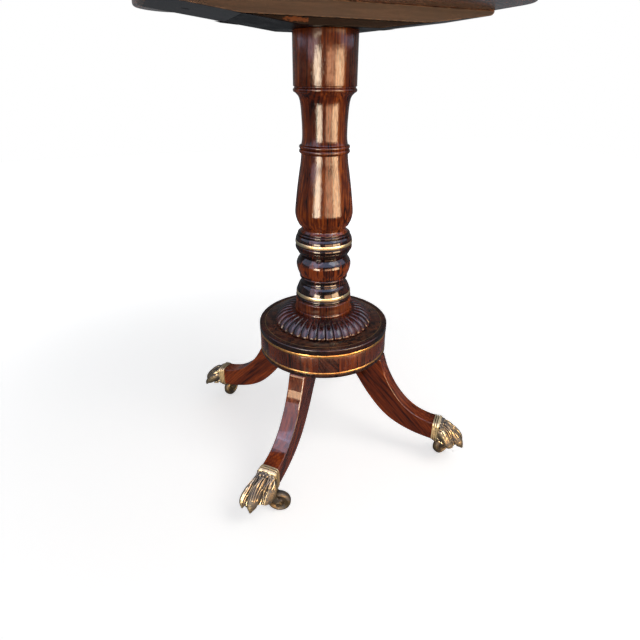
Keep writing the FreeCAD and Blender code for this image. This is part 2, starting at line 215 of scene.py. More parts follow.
def calc(tree, operation, first, second=0.0, clamp=False):
    made = addNode(tree, "Math", {0: first, 1: second}, operation=operation, use_clamp=clamp)
    return made.outputs[0]


def times(tree, first, second, clamp=False):
    return calc(tree, "MULTIPLY", first, second, clamp)


def plus(tree, first, second, clamp=False):
    return calc(tree, "ADD", first, second, clamp)


def minus(tree, first, second, clamp=False):
    return calc(tree, "SUBTRACT", first, second, clamp)


def remap(tree, value, low, high, newLow=0.0, newHigh=1.0):
    # eased from one range to the other
    return addNode(tree, "MapRange", {"Value": value, "From Min": low, "From Max": high, "To Min": newLow,
                                      "To Max": newHigh}, interpolation_type="SMOOTHSTEP").outputs[0]


def noise(tree, vector, scale, detail=2.0, roughness=0.5, distortion=0.0):
    return addNode(tree, "TexNoise", {"Vector": vector, "Scale": scale, "Detail": detail,
                                      "Roughness": roughness, "Distortion": distortion}).outputs[0]


def stretched(tree, vector, scale, shift=(0, 0, 0)):
    return addNode(tree, "Mapping", {"Vector": vector, "Scale": scale, "Location": shift}).outputs[0]


def newGroup(name, inputs):
    # an input that starts as None is a vector, one with three numbers a colour, any other a value
    group = bpy.data.node_groups.new(name, "ShaderNodeTree")
    for socketName, start in inputs.items():
        kind = {type(None): "Vector", tuple: "Color", float: "Float"}[type(start)]
        socket = group.interface.new_socket(name=socketName, in_out="INPUT", socket_type="NodeSocket" + kind)
        if start is not None:
            socket.default_value = colour(*start) if kind == "Color" else start
    return group, group.nodes.new("NodeGroupInput").outputs


def finishGroup(group, outputs):
    result = group.nodes.new("NodeGroupOutput")
    for name in outputs:
        kind = "NodeSocketColor" if name == "Color" else "NodeSocketFloat"
        group.interface.new_socket(name=name, in_out="OUTPUT", socket_type=kind)
    feed(group, result, outputs)
    return group


def placeGroup(tree, group, inputs):
    return addNode(tree, "Group", inputs, node_tree=group).outputs


def newMaterial(name):
    material = bpy.data.materials.new(name)
    material.use_nodes = True
    tree = material.node_tree
    return material, tree, tree.nodes["Principled BSDF"]


# Effects that several materials share

def makeRosewoodFigure():
    # the grain runs along Z of the vector that goes in, in metres
    scales = {"wander": 11.0, "vein": 58.0, "veinPlace": 21.0, "broad": 34.0, "fibre": 330.0, "rings": 62.0,
              "pore": 900.0, "alongGrain": (1, 1, 0.07), "alongPore": (1, 1, 0.12), "heart": (0.055, 0.03, 0)}
    shares = {"bend": 0.03, "broad": 0.5, "fibre": 0.34, "rings": 0.42, "pore": 0.75}
    group, source = newGroup("rosewoodFigure", {
        "Grain": None, "Light": (150, 80, 40), "Mid": (104, 48, 25), "Dark": (52, 23, 16),
        "Vein": (20, 10, 9), "Rings": 0.5, "Veins": 0.7, "Pores": 0.5, "Brightness": 0.0})
    long = stretched(group, source["Grain"], scales["alongGrain"])
    wander = addNode(group, "TexNoise", {"Vector": long, "Scale": scales["wander"], "Detail": 2.0}).outputs[1]
    centred = addNode(group, "VectorMath", {0: wander, 1: (0.5, 0.5, 0.5)}, operation="SUBTRACT").outputs[0]
    small = addNode(group, "VectorMath", {0: centred, 3: shares["bend"]}, operation="SCALE").outputs[0]
    bent = addNode(group, "VectorMath", {0: long, 1: small}, operation="ADD").outputs[0]
    broad = noise(group, bent, scales["broad"], 3.0, 0.55)
    fibre = noise(group, bent, scales["fibre"], 4.0, 0.6)
    heart = stretched(group, bent, (1, 1, 1), scales["heart"])
    wave = {"Vector": heart, "Scale": scales["rings"], "Distortion": 4.0, "Detail": 2.0, "Detail Scale": 1.1}
    rings = addNode(group, "TexWave", wave, wave_type="RINGS", rings_direction="Z").outputs[1]
    broadPart = times(group, remap(group, broad, 0.33, 0.67), shares["broad"])
    fibrePart = times(group, remap(group, fibre, 0.33, 0.67), shares["fibre"])
    ringPart = times(group, times(group, rings, shares["rings"]), source["Rings"])
    tone = plus(group, plus(group, broadPart, fibrePart), ringPart)
    tone = plus(group, tone, source["Brightness"], clamp=True)
    low = mixColours(group, remap(group, tone, 0.12, 0.5), source["Dark"], source["Mid"])
    wood = mixColours(group, remap(group, tone, 0.48, 0.95), low, source["Light"])
    away = calc(group, "ABSOLUTE", minus(group, noise(group, bent, scales["vein"]), 0.5))
    line = remap(group, away, 0.004, 0.03, 1.0, 0.0)
    here = remap(group, noise(group, bent, scales["veinPlace"], 1.0), 0.46, 0.58)
    vein = times(group, times(group, line, here), source["Veins"])
    wood = mixColours(group, vein, wood, source["Vein"])
    dashes = noise(group, stretched(group, source["Grain"], scales["alongPore"]), scales["pore"], 2.0, 0.6)
    pore = times(group, remap(group, dashes, 0.55, 0.7), source["Pores"])
    wood = mixColours(group, times(group, pore, shares["pore"]), wood, source["Vein"])
    return finishGroup(group, {"Color": wood, "Pore": pore, "Tone": tone})


def makeEdgeWear():
    # a mask of the arrises that hands and dusters have rubbed
    group, source = newGroup("edgeWear", {"Vector": None, "Start": 0.505, "Full": 0.545})
    point = addNode(group, "NewGeometry").outputs["Pointiness"]
    edge = remap(group, point, source["Start"], source["Full"])
    patch = remap(group, noise(group, source["Vector"], 90.0, 3.0, 0.6), 0.38, 0.6)
    return finishGroup(group, {"Mask": times(group, edge, patch, clamp=True)})


def makeGrime():
    # what settles in grooves: 1 in a crevice, 0 on open faces
    group, source = newGroup("grime", {"Vector": None, "Open": 0.495, "Deep": 0.44})
    point = addNode(group, "NewGeometry").outputs["Pointiness"]
    deep = remap(group, point, source["Deep"], source["Open"], 1.0, 0.0)
    patch = remap(group, noise(group, source["Vector"], 160.0, 3.0), 0.25, 0.5, 0.6, 1.0)
    return finishGroup(group, {"Mask": times(group, deep, patch, clamp=True)})


def makePolish():
    # the uneven gloss of an old hand polish: cloudy places, tiny pits, and thin spots in the coat
    scales = {"cloud": 26.0, "speck": 520.0, "ripple": 330.0, "thin": 420.0, "drawnOut": (1.0, 1.0, 0.4)}
    shares = {"cloud": 0.7, "speck": 0.3, "pore": 0.2, "dents": 0.5}
    group, source = newGroup("polish", {"Vector": None, "Pore": 0.0, "Smooth": 0.16, "Rough": 0.34,
                                        "Ripple": 0.0})
    cloud = noise(group, source["Vector"], scales["cloud"], 4.0, 0.6)
    speck = noise(group, source["Vector"], scales["speck"], 3.0, 0.7)
    mixed = plus(group, times(group, remap(group, cloud, 0.35, 0.65), shares["cloud"]),
                 times(group, remap(group, speck, 0.4, 0.7), shares["speck"]))
    span = minus(group, source["Rough"], source["Smooth"])
    rough = plus(group, source["Smooth"], times(group, mixed, span))
    rough = plus(group, rough, times(group, source["Pore"], shares["pore"]), clamp=True)
    dents = times(group, remap(group, speck, 0.35, 0.7), shares["dents"])
    drawn = stretched(group, source["Vector"], scales["drawnOut"])
    ripple = noise(group, drawn, scales["ripple"], 3.0, 0.6)
    thin = noise(group, drawn, scales["thin"], 4.0, 0.7, 0.6)
    height = plus(group, minus(group, dents, source["Pore"]), times(group, ripple, source["Ripple"]))
    return finishGroup(group, {"Roughness": rough, "Height": height, "Thin": remap(group, thin, 0.42, 0.62)})


def makeBrassAge():
    # polished metal where it is handled, brown and grey-green where it is not
    aging = {"patch": 85.0, "fine": 620.0, "spread": 0.35, "greyed": 0.85, "flecks": 0.35, "fineHeight": 0.6,
             "metal": 0.75, "grimeMetal": 0.45}
    gloss = {"bright": 0.26, "dull": 0.56, "fine": 0.12, "grime": 0.25}
    group, source = newGroup("brassAge", {
        "Vector": None, "Bright": (214, 172, 92), "Dull": (128, 104, 62), "Grey": (92, 96, 86),
        "Crevice": (34, 28, 20), "Age": 0.5, "Grime": 0.0})
    patch = noise(group, source["Vector"], aging["patch"], 4.0, 0.65)
    fine = noise(group, source["Vector"], aging["fine"], 3.0, 0.6)
    aged = plus(group, remap(group, patch, 0.3, 0.7, -aging["spread"], aging["spread"]), source["Age"],
                clamp=True)
    base = mixColours(group, remap(group, aged, 0.1, 0.6), source["Bright"], source["Dull"])
    base = mixColours(group, remap(group, aged, 0.55, 1.0, 0.0, aging["greyed"]), base, source["Grey"])
    base = mixColours(group, remap(group, fine, 0.52, 0.75, 0.0, aging["flecks"]), base, source["Dull"])
    base = mixColours(group, source["Grime"], base, source["Crevice"])
    rough = plus(group, remap(group, aged, 0.0, 1.0, gloss["bright"], gloss["dull"]),
                 times(group, fine, gloss["fine"]))
    rough = plus(group, rough, times(group, source["Grime"], gloss["grime"]), clamp=True)
    metal = minus(group, remap(group, aged, 0.5, 1.0, 1.0, aging["metal"]),
                  times(group, source["Grime"], aging["grimeMetal"]), clamp=True)
    height = minus(group, times(group, fine, aging["fineHeight"]), source["Grime"])
    return finishGroup(group, {"Color": base, "Roughness": rough, "Height": height, "Metal": metal})


rosewoodFigure = makeRosewoodFigure()
edgeWear = makeEdgeWear()
grime = makeGrime()
polish = makePolish()
brassAge = makeBrassAge()
print("shared effects made")


# Materials

def objectVector(tree):
    return addNode(tree, "TexCoord").outputs["Object"]


def grainVector(tree):
    # the vector that a piece carries when its grain follows its own board
    return addNode(tree, "Attribute", attribute_name="grain").outputs["Vector"]


def levelGrain(tree, shift=(0, 0, 0)):
    # the pattern laid down so that its grain runs along X
    return addNode(tree, "Mapping", {"Vector": objectVector(tree), "Rotation": (0, math.radians(90), 0),
                                     "Location": shift}).outputs[0]


def placeFigure(tree, grain, wood, brightness=0.0):
    inputs = {"Grain": grain, "Brightness": brightness}
    for name in ("light", "mid", "dark", "vein"):
        inputs[name.capitalize()] = colour(*wood[name])
    for name in ("rings", "veins", "pores"):
        inputs[name.capitalize()] = wood[name]
    return placeGroup(tree, rosewoodFigure, inputs)


def bumped(tree, height, strength, depth=0.2 * mm):
    made = addNode(tree, "Bump", {"Height": height, "Strength": strength, "Distance": depth})
    return made.outputs["Normal"]


rosewood = {
    "light": (186, 88, 28), "mid": (116, 46, 16), "dark": (44, 16, 9), "vein": (16, 7, 6),
    "rings": 0.5, "veins": 0.85, "pores": 0.55, "brightness": 0.0, "smooth": 0.2, "rough": 0.34,
    "wear": 0.5, "wearStart": 0.51, "wearFull": 0.56, "wornColour": (170, 104, 66), "grime": 0.7,
    "bump": 0.5, "specular": 0.08, "coat": 0.9, "coatBump": 0.22, "coatRoughness": 0.09, "coatIor": 1.6,
    "ripple": 0.0, "mottle": 0.2, "openPores": 0.6,
}


def makePolishedWood(name, vectorOf=objectVector, **changes):
    settings = {**rosewood, **changes}
    material, tree, shader = newMaterial(name)
    vector = vectorOf(tree)
    brightness = settings["brightness"]
    # painted light: a band of the knop over its bulb is painted brighter than the rest, standing in for light
    # from the floor on the bulb's lower half
    if "rubbed" in settings:
        rise = addNode(tree, "SeparateXYZ", {0: objectVector(tree)}).outputs[2]
        foot, full, end, top = (height * mm for height in settings["rubbed"])
        inside = times(tree, remap(tree, rise, foot, full), remap(tree, rise, end, top, 1.0, 0.0))
        brightness = remap(tree, inside, 0.0, 1.0, brightness, settings["rubbedBrightness"])
    figure = placeFigure(tree, vector, settings, brightness)
    gloss = placeGroup(tree, polish, {"Vector": vector, "Pore": figure["Pore"], "Smooth": settings["smooth"],
                                      "Rough": settings["rough"], "Ripple": settings["ripple"]})
    worn = placeGroup(tree, edgeWear, {"Vector": vector, "Start": settings["wearStart"],
                                       "Full": settings["wearFull"]})
    dirt = placeGroup(tree, grime, {"Vector": vector})
    wood = mixColours(tree, times(tree, worn["Mask"], settings["wear"]), figure["Color"],
                      colour(*settings["wornColour"]))
    wood = mixColours(tree, times(tree, dirt["Mask"], settings["grime"]), wood, colour(*settings["vein"]))
    thin = calc(tree, "MAXIMUM", times(tree, gloss["Thin"], settings["mottle"]),
                times(tree, figure["Pore"], settings["openPores"]))
    feed(tree, shader, {
        "Base Color": wood, "Roughness": gloss["Roughness"], "Specular IOR Level": settings["specular"],
        "Normal": bumped(tree, gloss["Height"], settings["bump"]),
        "Coat Normal": bumped(tree, gloss["Height"], settings["coatBump"]),
        "Coat Weight": times(tree, minus(tree, 1.0, thin), settings["coat"]),
        "Coat Roughness": settings["coatRoughness"], "Coat IOR": settings["coatIor"]})
    return material


columnWood = makePolishedWood("columnRosewood", ripple=2.0, coatBump=0.25, coatRoughness=0.06, specular=0.02,
                              mottle=0.5)
# the knop's wood, darker overall, with a band over the bulb painted brighter as painted light
knopWood = makePolishedWood(
    "knopRosewood", light=(176, 78, 26), mid=(70, 26, 14), dark=(20, 9, 8), pores=0.35, smooth=0.14,
    rough=0.26, coat=0.8, coatBump=0.05, coatRoughness=0.05, ripple=1.0, brightness=-0.3,
    rubbed=(326, 342, 350, 368), rubbedBrightness=0.22)
carvedWood = makePolishedWood(
    "carvedRosewood", light=(100, 38, 22), mid=(56, 20, 14), dark=(22, 9, 8), pores=0.3, smooth=0.18,
    rough=0.3, grime=0.9, wear=0.25, coat=0.45, specular=0.2)
platformWood = makePolishedWood(
    "platformRosewood", levelGrain, light=(74, 30, 20), mid=(36, 15, 12), dark=(15, 7, 7), pores=0.3,
    wear=0.4, coat=0.6, specular=0.25)
legWood = makePolishedWood(
    "legRosewood", grainVector, light=(196, 90, 38), mid=(136, 57, 26), dark=(70, 29, 17), veins=0.5,
    rings=0.4, smooth=0.14, rough=0.24, wear=0.6, coatBump=0.02, coatRoughness=0.04)
topWood = makePolishedWood("topRosewood", lambda tree: levelGrain(tree, (0.02, 0.31, 0)), light=(142, 70, 36),
                           mid=(96, 43, 24), dark=(44, 20, 15), rings=0.8)


def makeVeneer():
    # saw-cut leaves laid upright round the platform, one of them with a wild figure; places in degrees
    leaf = {"wildFrom": 244.0, "wildTo": 260.5, "joints": (35.0, 118.0, 190.0, 300.0), "jointWidth": 0.35,
            "turn": (0.25, 0.9, 0.4), "rise": 0.6, "jointDark": 0.8, "jointColour": (16, 9, 8)}
    wild = {"light": (128, 62, 34), "mid": (88, 40, 24), "dark": (40, 19, 14), "vein": (24, 12, 9),
            "rings": 1.0, "veins": 0.6, "pores": 0.4}
    plain = {"light": (188, 86, 34), "mid": (122, 50, 22), "dark": (50, 20, 12), "vein": (18, 10, 9),
             "rings": 0.35, "veins": 0.7, "pores": 0.7}
    material, tree, shader = newMaterial("platformVeneer")
    vector = objectVector(tree)
    split = addNode(tree, "SeparateXYZ", {0: vector}).outputs
    angle = times(tree, calc(tree, "ARCTAN2", split[1], split[0]), 180 / math.pi)
    degrees = calc(tree, "MODULO", plus(tree, angle, 360.0), 360.0)
    patch = times(tree, calc(tree, "GREATER_THAN", degrees, leaf["wildFrom"]),
                  calc(tree, "LESS_THAN", degrees, leaf["wildTo"]))
    tilted = addNode(tree, "Mapping", {"Vector": vector, "Rotation": leaf["turn"],
                                       "Scale": (1.0, 1.0, leaf["rise"])}).outputs[0]
    wildFigure = placeFigure(tree, tilted, wild)
    figure = placeFigure(tree, vector, plain)
    wood = mixColours(tree, patch, figure["Color"], wildFigure["Color"])
    seam = 0.0
    for place in (leaf["wildFrom"], leaf["wildTo"], *leaf["joints"]):
        away = calc(tree, "ABSOLUTE", minus(tree, degrees, place))
        seam = calc(tree, "MAXIMUM", seam, calc(tree, "LESS_THAN", away, leaf["jointWidth"]))
    wood = mixColours(tree, times(tree, seam, leaf["jointDark"]), wood, colour(*leaf["jointColour"]))
    gloss = placeGroup(tree, polish, {"Vector": vector, "Pore": figure["Pore"], "Smooth": 0.2, "Rough": 0.36})
    feed(tree, shader, {
        "Base Color": wood, "Roughness": gloss["Roughness"],
        "Normal": bumped(tree, minus(tree, gloss["Height"], seam), 0.3),
        "Coat Weight": 0.7, "Coat Roughness": 0.08})
    return material


def makeBearerWood():
    # bare planed sides, brown with handling, and the underside and ends painted dark as shade
    board = {"halfWidth": 54.6 * mm, "edge": 0.3 * mm, "smear": 0.35, "smearColour": (60, 50, 44),
             "mark": 0.5, "markColour": (102, 80, 64), "wear": 0.6, "wornColour": (168, 122, 84),
             "darkWood": 0.3, "bare": 0.62}
    bareWood = {"light": (90, 65, 49), "mid": (67, 47, 35), "dark": (45, 30, 23), "vein": (40, 26, 20),
                "rings": 0.3, "veins": 0.5, "pores": 0.4}
    paintedShadeWood = {"light": (52, 36, 32), "mid": (34, 24, 23), "dark": (18, 13, 13), "vein": (10, 7, 7),
                   "rings": 0.3, "veins": 0.3, "pores": 0.3}
    material, tree, shader = newMaterial("bearerWood")
    vector = objectVector(tree)
    grain = levelGrain(tree, (0.13, 0.02, 0))
    figure = placeFigure(tree, grain, bareWood)
    paintedShade = placeFigure(tree, grain, paintedShadeWood)
    across = calc(tree, "ABSOLUTE", addNode(tree, "SeparateXYZ", {0: vector}).outputs[1])
    side = remap(tree, across, board["halfWidth"] - board["edge"], board["halfWidth"])
    scratch = noise(tree, stretched(tree, vector, (0.35, 1, 1.6)), 240.0, 5.0, 0.75, 1.2)
    mark = remap(tree, scratch, 0.6, 0.68)
    smear = remap(tree, noise(tree, vector, 22.0, 4.0, 0.6), 0.4, 0.62)
    bare = mixColours(tree, times(tree, smear, board["smear"]), figure["Color"],
                      colour(*board["smearColour"]))
    bare = mixColours(tree, times(tree, mark, board["mark"]), bare, colour(*board["markColour"]))
    # painted shade: every face but the two broad sides takes the dark colour
    wood = mixColours(tree, side, paintedShade["Color"], bare)
    worn = placeGroup(tree, edgeWear, {"Vector": vector, "Start": 0.51, "Full": 0.55})
    wood = mixColours(tree, times(tree, worn["Mask"], board["wear"]), wood, colour(*board["wornColour"]))
    height = minus(tree, times(tree, scratch, 0.5), figure["Pore"])
    feed(tree, shader, {
        "Base Color": wood, "Roughness": remap(tree, side, 0.0, 1.0, board["darkWood"], board["bare"]),
        "Normal": bumped(tree, height, 0.35, 0.3 * mm), "Specular IOR Level": 0.32})
    return material


def makeShoeWood():
    # dark stain, with one orange spot on the front that is painted light: warm light falling on it, in the
    # colour of bare wood
    rub = {"x": -62 * mm, "z": 697.5 * mm, "halfLength": 17 * mm, "halfHeight": 3.2 * mm, "fray": 0.35,
           "colour": (152, 84, 44)}
    darkWood = {"light": (34, 19, 16), "mid": (21, 12, 11), "dark": (12, 7, 7), "vein": (7, 5, 5),
               "rings": 0.3, "veins": 0.4, "pores": 0.3}
    material, tree, shader = newMaterial("shoeWood")
    vector = objectVector(tree)
    figure = placeFigure(tree, levelGrain(tree), darkWood)
    split = addNode(tree, "SeparateXYZ", {0: vector}).outputs
    along = calc(tree, "DIVIDE", minus(tree, split[0], rub["x"]), rub["halfLength"])
    rise = calc(tree, "DIVIDE", minus(tree, split[2], rub["z"]), rub["halfHeight"])
    away = calc(tree, "SQRT", plus(tree, calc(tree, "POWER", along, 2.0), calc(tree, "POWER", rise, 2.0)))
    fray = remap(tree, noise(tree, vector, 180.0, 4.0, 0.6), 0.3, 0.7, -rub["fray"], rub["fray"])
    front = calc(tree, "LESS_THAN", split[1], 0.0)
    # painted light: the bright orange spot, on the front face only
    bare = times(tree, remap(tree, plus(tree, away, fray), 0.7, 1.0, 1.0, 0.0), front)
    gloss = placeGroup(tree, polish, {"Vector": vector, "Pore": figure["Pore"], "Smooth": 0.25, "Rough": 0.4})
    feed(tree, shader, {
        "Base Color": mixColours(tree, bare, figure["Color"], colour(*rub["colour"])),
        "Roughness": gloss["Roughness"], "Normal": bumped(tree, gloss["Height"], 0.25),
        "Specular IOR Level": 0.04})
    return material


oldBrass = {"bright": (206, 194, 156), "dull": (124, 116, 96), "grey": (72, 76, 78), "age": 0.5, "bump": 0.3,
            "open": 0.49, "deep": 0.42, "grime": 0.4}


def attributeOf(tree, name):
    return addNode(tree, "Attribute", attribute_name=name).outputs["Fac"]


def makeBrass(name, chased=False, **changes):
    settings = {**oldBrass, **changes}
    material, tree, shader = newMaterial(name)
    vector = objectVector(tree)
    dirt = placeGroup(tree, grime, {"Vector": vector, "Open": settings["open"], "Deep": settings["deep"]})
    age = settings["age"]
    deep = times(tree, dirt["Mask"], settings["grime"])
    if chased:
        # dirt lies in the hollows of the relief, and the ridges are rubbed
        chase = {"fray": 0.25, "crevice": 0.4, "hollow": (-0.7, 0.1), "ridge": 0.8, "dulled": 0.15,
                 "rubbed": -0.45, "matt": 0.22}
        fray = remap(tree, noise(tree, vector, 420.0, 3.0, 0.6), 0.3, 0.7, -chase["fray"], chase["fray"])
        relief = plus(tree, attributeOf(tree, "relief"), fray)
        hollow = remap(tree, relief, *chase["hollow"], 1.0, 0.0)
        deep = calc(tree, "MAXIMUM", times(tree, deep, chase["crevice"]),
                    times(tree, hollow, settings["grime"]))
        rubbed = remap(tree, relief, 0.0, chase["ridge"], chase["dulled"], chase["rubbed"])
        age = plus(tree, attributeOf(tree, "patina"), rubbed, clamp=True)
    brass = placeGroup(tree, brassAge, {
        "Vector": vector, "Bright": colour(*settings["bright"]), "Dull": colour(*settings["dull"]),
        "Grey": colour(*settings["grey"]), "Age": age, "Grime": deep})
    rough = brass["Roughness"]
    if chased:
        rough = plus(tree, rough, times(tree, attributeOf(tree, "matt"), chase["matt"]), clamp=True)
    feed(tree, shader, {"Base Color": brass["Color"], "Roughness": rough, "Metallic": brass["Metal"],
                        "Normal": bumped(tree, brass["Height"], settings["bump"], 0.3 * mm)})
    return material


pawBrass = makeBrass("pawBrass", chased=True, grime=0.85)
castorBrass = makeBrass("castorBrass", age=0.75, dull=(100, 90, 70), grime=0.95)
ringBrass = makeBrass("ringBrass", bright=(238, 226, 184), dull=(190, 168, 124), age=0.2, bump=0.15)
bandBrass = makeBrass("bandBrass", bright=(218, 176, 112), dull=(164, 122, 72), age=0.25, bump=0.15)
stringBrass = makeBrass("stringBrass", bright=(196, 164, 116), dull=(124, 104, 74), age=0.45, bump=0.1)


def makeSteel():
    material, tree, shader = newMaterial("screwSteel")
    rust = remap(tree, noise(tree, objectVector(tree), 380.0, 4.0, 0.65), 0.45, 0.65)
    feed(tree, shader, {"Base Color": mixColours(tree, rust, colour(120, 116, 110), colour(74, 46, 32)),
                        "Roughness": remap(tree, rust, 0.0, 1.0, 0.3, 0.7),
                        "Metallic": minus(tree, 1.0, times(tree, rust, 0.6))})
    return material


def makeBlockWood():
    # unpolished timber that is out of sight
    timber = {"light": (150, 108, 70), "mid": (120, 84, 54), "dark": (84, 56, 36), "vein": (84, 56, 36),
              "rings": 0.9, "veins": 0.2, "pores": 0.4}
    material, tree, shader = newMaterial("blockWood")
    figure = placeFigure(tree, levelGrain(tree), timber)
    feed(tree, shader, {"Base Color": figure["Color"], "Normal": bumped(tree, figure["Pore"], 0.3),
                        "Roughness": remap(tree, figure["Tone"], 0.0, 1.0, 0.55, 0.75)})
    return material


veneerWood = makeVeneer()
bearerWood = makeBearerWood()
shoeWood = makeShoeWood()
steel = makeSteel()
blockWood = makeBlockWood()
print("materials made")


# Turned pieces

def arcThrough(first, middle, last, count):
    # points on the arc through three points
    ax, ay = first
    bx, by = middle
    cx, cy = last
    d = 2 * (ax * (by - cy) + bx * (cy - ay) + cx * (ay - by))
    if abs(d) < 1e-12:
        return [first, last]
    a2, b2, c2 = ax * ax + ay * ay, bx * bx + by * by, cx * cx + cy * cy
    centre = Vector(((a2 * (by - cy) + b2 * (cy - ay) + c2 * (ay - by)) / d,
                     (a2 * (cx - bx) + b2 * (ax - cx) + c2 * (bx - ax)) / d))
    start = math.atan2(ay - centre.y, ax - centre.x)
    turnTo = [(math.atan2(y - centre.y, x - centre.x) - start) % (2 * math.pi) for x, y in (middle, last)]
    sweep = turnTo[1] if turnTo[0] < turnTo[1] else turnTo[1] - 2 * math.pi
    radius = (Vector(first) - centre).length
    return [(centre.x + radius * math.cos(start + sweep * step / count),
             centre.y + radius * math.sin(start + sweep * step / count)) for step in range(count + 1)]


def curveThrough(points, count):
    # a smooth curve through all the points
    knots = [Vector(point) for point in points]
    knots = [2 * knots[0] - knots[1]] + knots + [2 * knots[-1] - knots[-2]]
    made = []
    for index in range(1, len(knots) - 2):
        p0, p1, p2, p3 = knots[index - 1:index + 3]
        for step in range(count):
            t = step / count
            made.append(tuple(0.5 * (2 * p1 + (p2 - p0) * t + (2 * p0 - 5 * p1 + 4 * p2 - p3) * t * t
                                     + (3 * p1 - p0 - 3 * p2 + p3) * t ** 3)))
    made.append(tuple(points[-1]))
    return made


def outline(runs, radius, height, foot):
    # two points are a straight line, three an arc, and more a curve
    points = []
    for run in runs:
        real = [(radius * out, foot + height * rise) for out, rise in run]
        if len(real) == 3:
            real = arcThrough(*real, 10)
        elif len(real) > 3:
            real = curveThrough(real, 4)
        points += real
    return points


def drawOutline(name, points, closed=False):
    # a chain of vertices in the plane Y = 0, drawn by extruding from the first one
    clearSelection()
    bpy.ops.mesh.primitive_plane_add(size=mm, location=(points[0][0], 0, points[0][1]))
    piece = bpy.context.object
    piece.name = name
    settle(piece)
    bpy.ops.object.mode_set(mode="EDIT")
    bpy.ops.mesh.select_mode(type="VERT")
    bpy.ops.mesh.select_all(action="SELECT")
    bpy.ops.mesh.merge(type="CENTER")
    chain = [*points, points[0]] if closed else points
    for last, point in zip(chain, chain[1:]):
        step = (point[0] - last[0], 0, point[1] - last[1])
        bpy.ops.mesh.extrude_region_move(TRANSFORM_OT_translate={"value": step})
    if closed:
        bpy.ops.mesh.select_all(action="SELECT")
        bpy.ops.mesh.remove_doubles(threshold=0.002 * mm)
        bpy.ops.mesh.edge_face_add()
    return piece


def slab(name, points, start, thick, arris, segments, angle, smooth):
    # a closed outline given a thickness along Y
    piece = drawOutline(name, points, closed=True)
    bpy.ops.transform.translate(value=(0, start, 0))
    bpy.ops.mesh.extrude_region_move(TRANSFORM_OT_translate={"value": (0, thick, 0)})
    closeUp(piece)
    softenEdges(piece, arris, segments, angle, smooth)
    return piece


def addBlock(name, centre, size):
    clearSelection()
    bpy.ops.mesh.primitive_cube_add(size=1, location=centre, scale=size)
    piece = bpy.context.object
    piece.name = name
    settle(piece)
    return piece


def turn(name, points, steps):
    piece = drawOutline(name, points)
    bpy.ops.mesh.select_all(action="SELECT")
    bpy.ops.mesh.spin(steps=steps, angle=2 * math.pi, center=(0, 0, 0), axis=(0, 0, 1))
    closeUp(piece)
    return piece


def turnPiece(name, node, points, steps, soft, material):
    piece = turn(name, points, steps)
    softenEdges(piece, soft)
    finishPiece(piece, "root", material, node)


def nodeSpan(node):
    # the radius, foot and top of a round piece
    low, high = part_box(node)
    return (high.x - low.x) / 2, low.z, high.z


column = {"steps": 144, "softEdge": 0.35 * mm, "peg": 20 * mm, "pegLength": 22 * mm, "socket": 20.15 * mm,
          "socketDepth": 22.15 * mm}


def makeColumnFoot():
    runs = (((1.0, 0.0), (1.0, 0.48)),
            ((0.984, 0.5), (1.0, 0.553), (0.984, 0.609)),
            ((0.952, 0.611), (0.952, 0.628)),
            ((0.97, 0.63), (0.97, 0.978)),
            ((0.95, 1.0), (0.93, 1.0)))
    radius, low, high = nodeSpan("column_foot")
    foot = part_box("platform_top")[1].z
    top = high - column["pegLength"]
    peg = column["peg"]
    points = [(0, low), (peg, low), (peg, foot), *outline(runs, radius, top - foot, foot),
              (peg, top), (peg, high), (0, high)]
    turnPiece("columnFoot", "column_foot", points, column["steps"], column["softEdge"],
              columnWood)


def makeColumnLength(name, node, runs, material):
    # a turned length with a hidden socket in its foot and a peg on its head
    radius, foot, high = nodeSpan(node)
    top = high - column["pegLength"]
    bottom = foot + column["socketDepth"]
    peg, socket = column["peg"], column["socket"]
    points = [(0, bottom), (socket, bottom), (socket, foot), *outline(runs, radius, top - foot, foot),
              (peg, top), (peg, high), (0, high)]
    turnPiece(name, node, points, column["steps"], column["softEdge"], material)


def makeKnop():
    # the two grooves in this outline are where the brass rings lie
    runs = (((0.971, 0.0), (0.971, 0.013)), ((0.95, 0.0135), (0.95, 0.0165)),
            ((0.987, 0.017), (1.0, 0.035), (0.985, 0.054)), ((0.955, 0.0555), (0.955, 0.0595)),
            ((0.977, 0.061), (0.977, 0.067)),
            ((0.93, 0.067), (0.93, 0.1175)), ((0.945, 0.1175), (0.945, 0.1205)),
            ((0.969, 0.121), (0.956, 0.139), (0.923, 0.176), (0.881, 0.214), (0.846, 0.235)),
            ((0.825, 0.239), (0.825, 0.247)), ((0.785, 0.2475), (0.785, 0.2515)),
            ((0.806, 0.252), (0.777, 0.286), (0.79, 0.317)), ((0.775, 0.3175), (0.775, 0.3225)),
            ((0.823, 0.324), (0.854, 0.336), (0.825, 0.35)), ((0.795, 0.3505), (0.795, 0.3535)),
            ((0.829, 0.354), (0.875, 0.387), (0.929, 0.445), (0.963, 0.521), (0.942, 0.567),
             (0.888, 0.609), (0.8, 0.649)), ((0.765, 0.651), (0.765, 0.659)),
            ((0.785, 0.661), (0.821, 0.676), (0.879, 0.694), (0.921, 0.723), (0.942, 0.739)),
            ((0.95, 0.744), (0.95, 0.751)), ((0.915, 0.7515), (0.915, 0.7555)),
            ((0.971, 0.756), (0.99, 0.786), (0.973, 0.815)), ((0.93, 0.8155), (0.93, 0.8195)),
            ((0.967, 0.82), (0.967, 0.832)),
            ((0.936, 0.832), (0.936, 0.878)), ((0.945, 0.878), (0.945, 0.881)),
            ((0.981, 0.8815), (0.971, 0.908), (0.921, 0.948)), ((0.855, 0.9485), (0.855, 0.9545)),
            ((0.883, 0.955), (0.91, 0.971), (0.885, 0.986)), ((0.835, 0.9865), (0.835, 0.9915)),
            ((0.844, 0.992), (0.844, 1.0)))
    makeColumnLength("columnKnop", "column_knop", runs, knopWood)


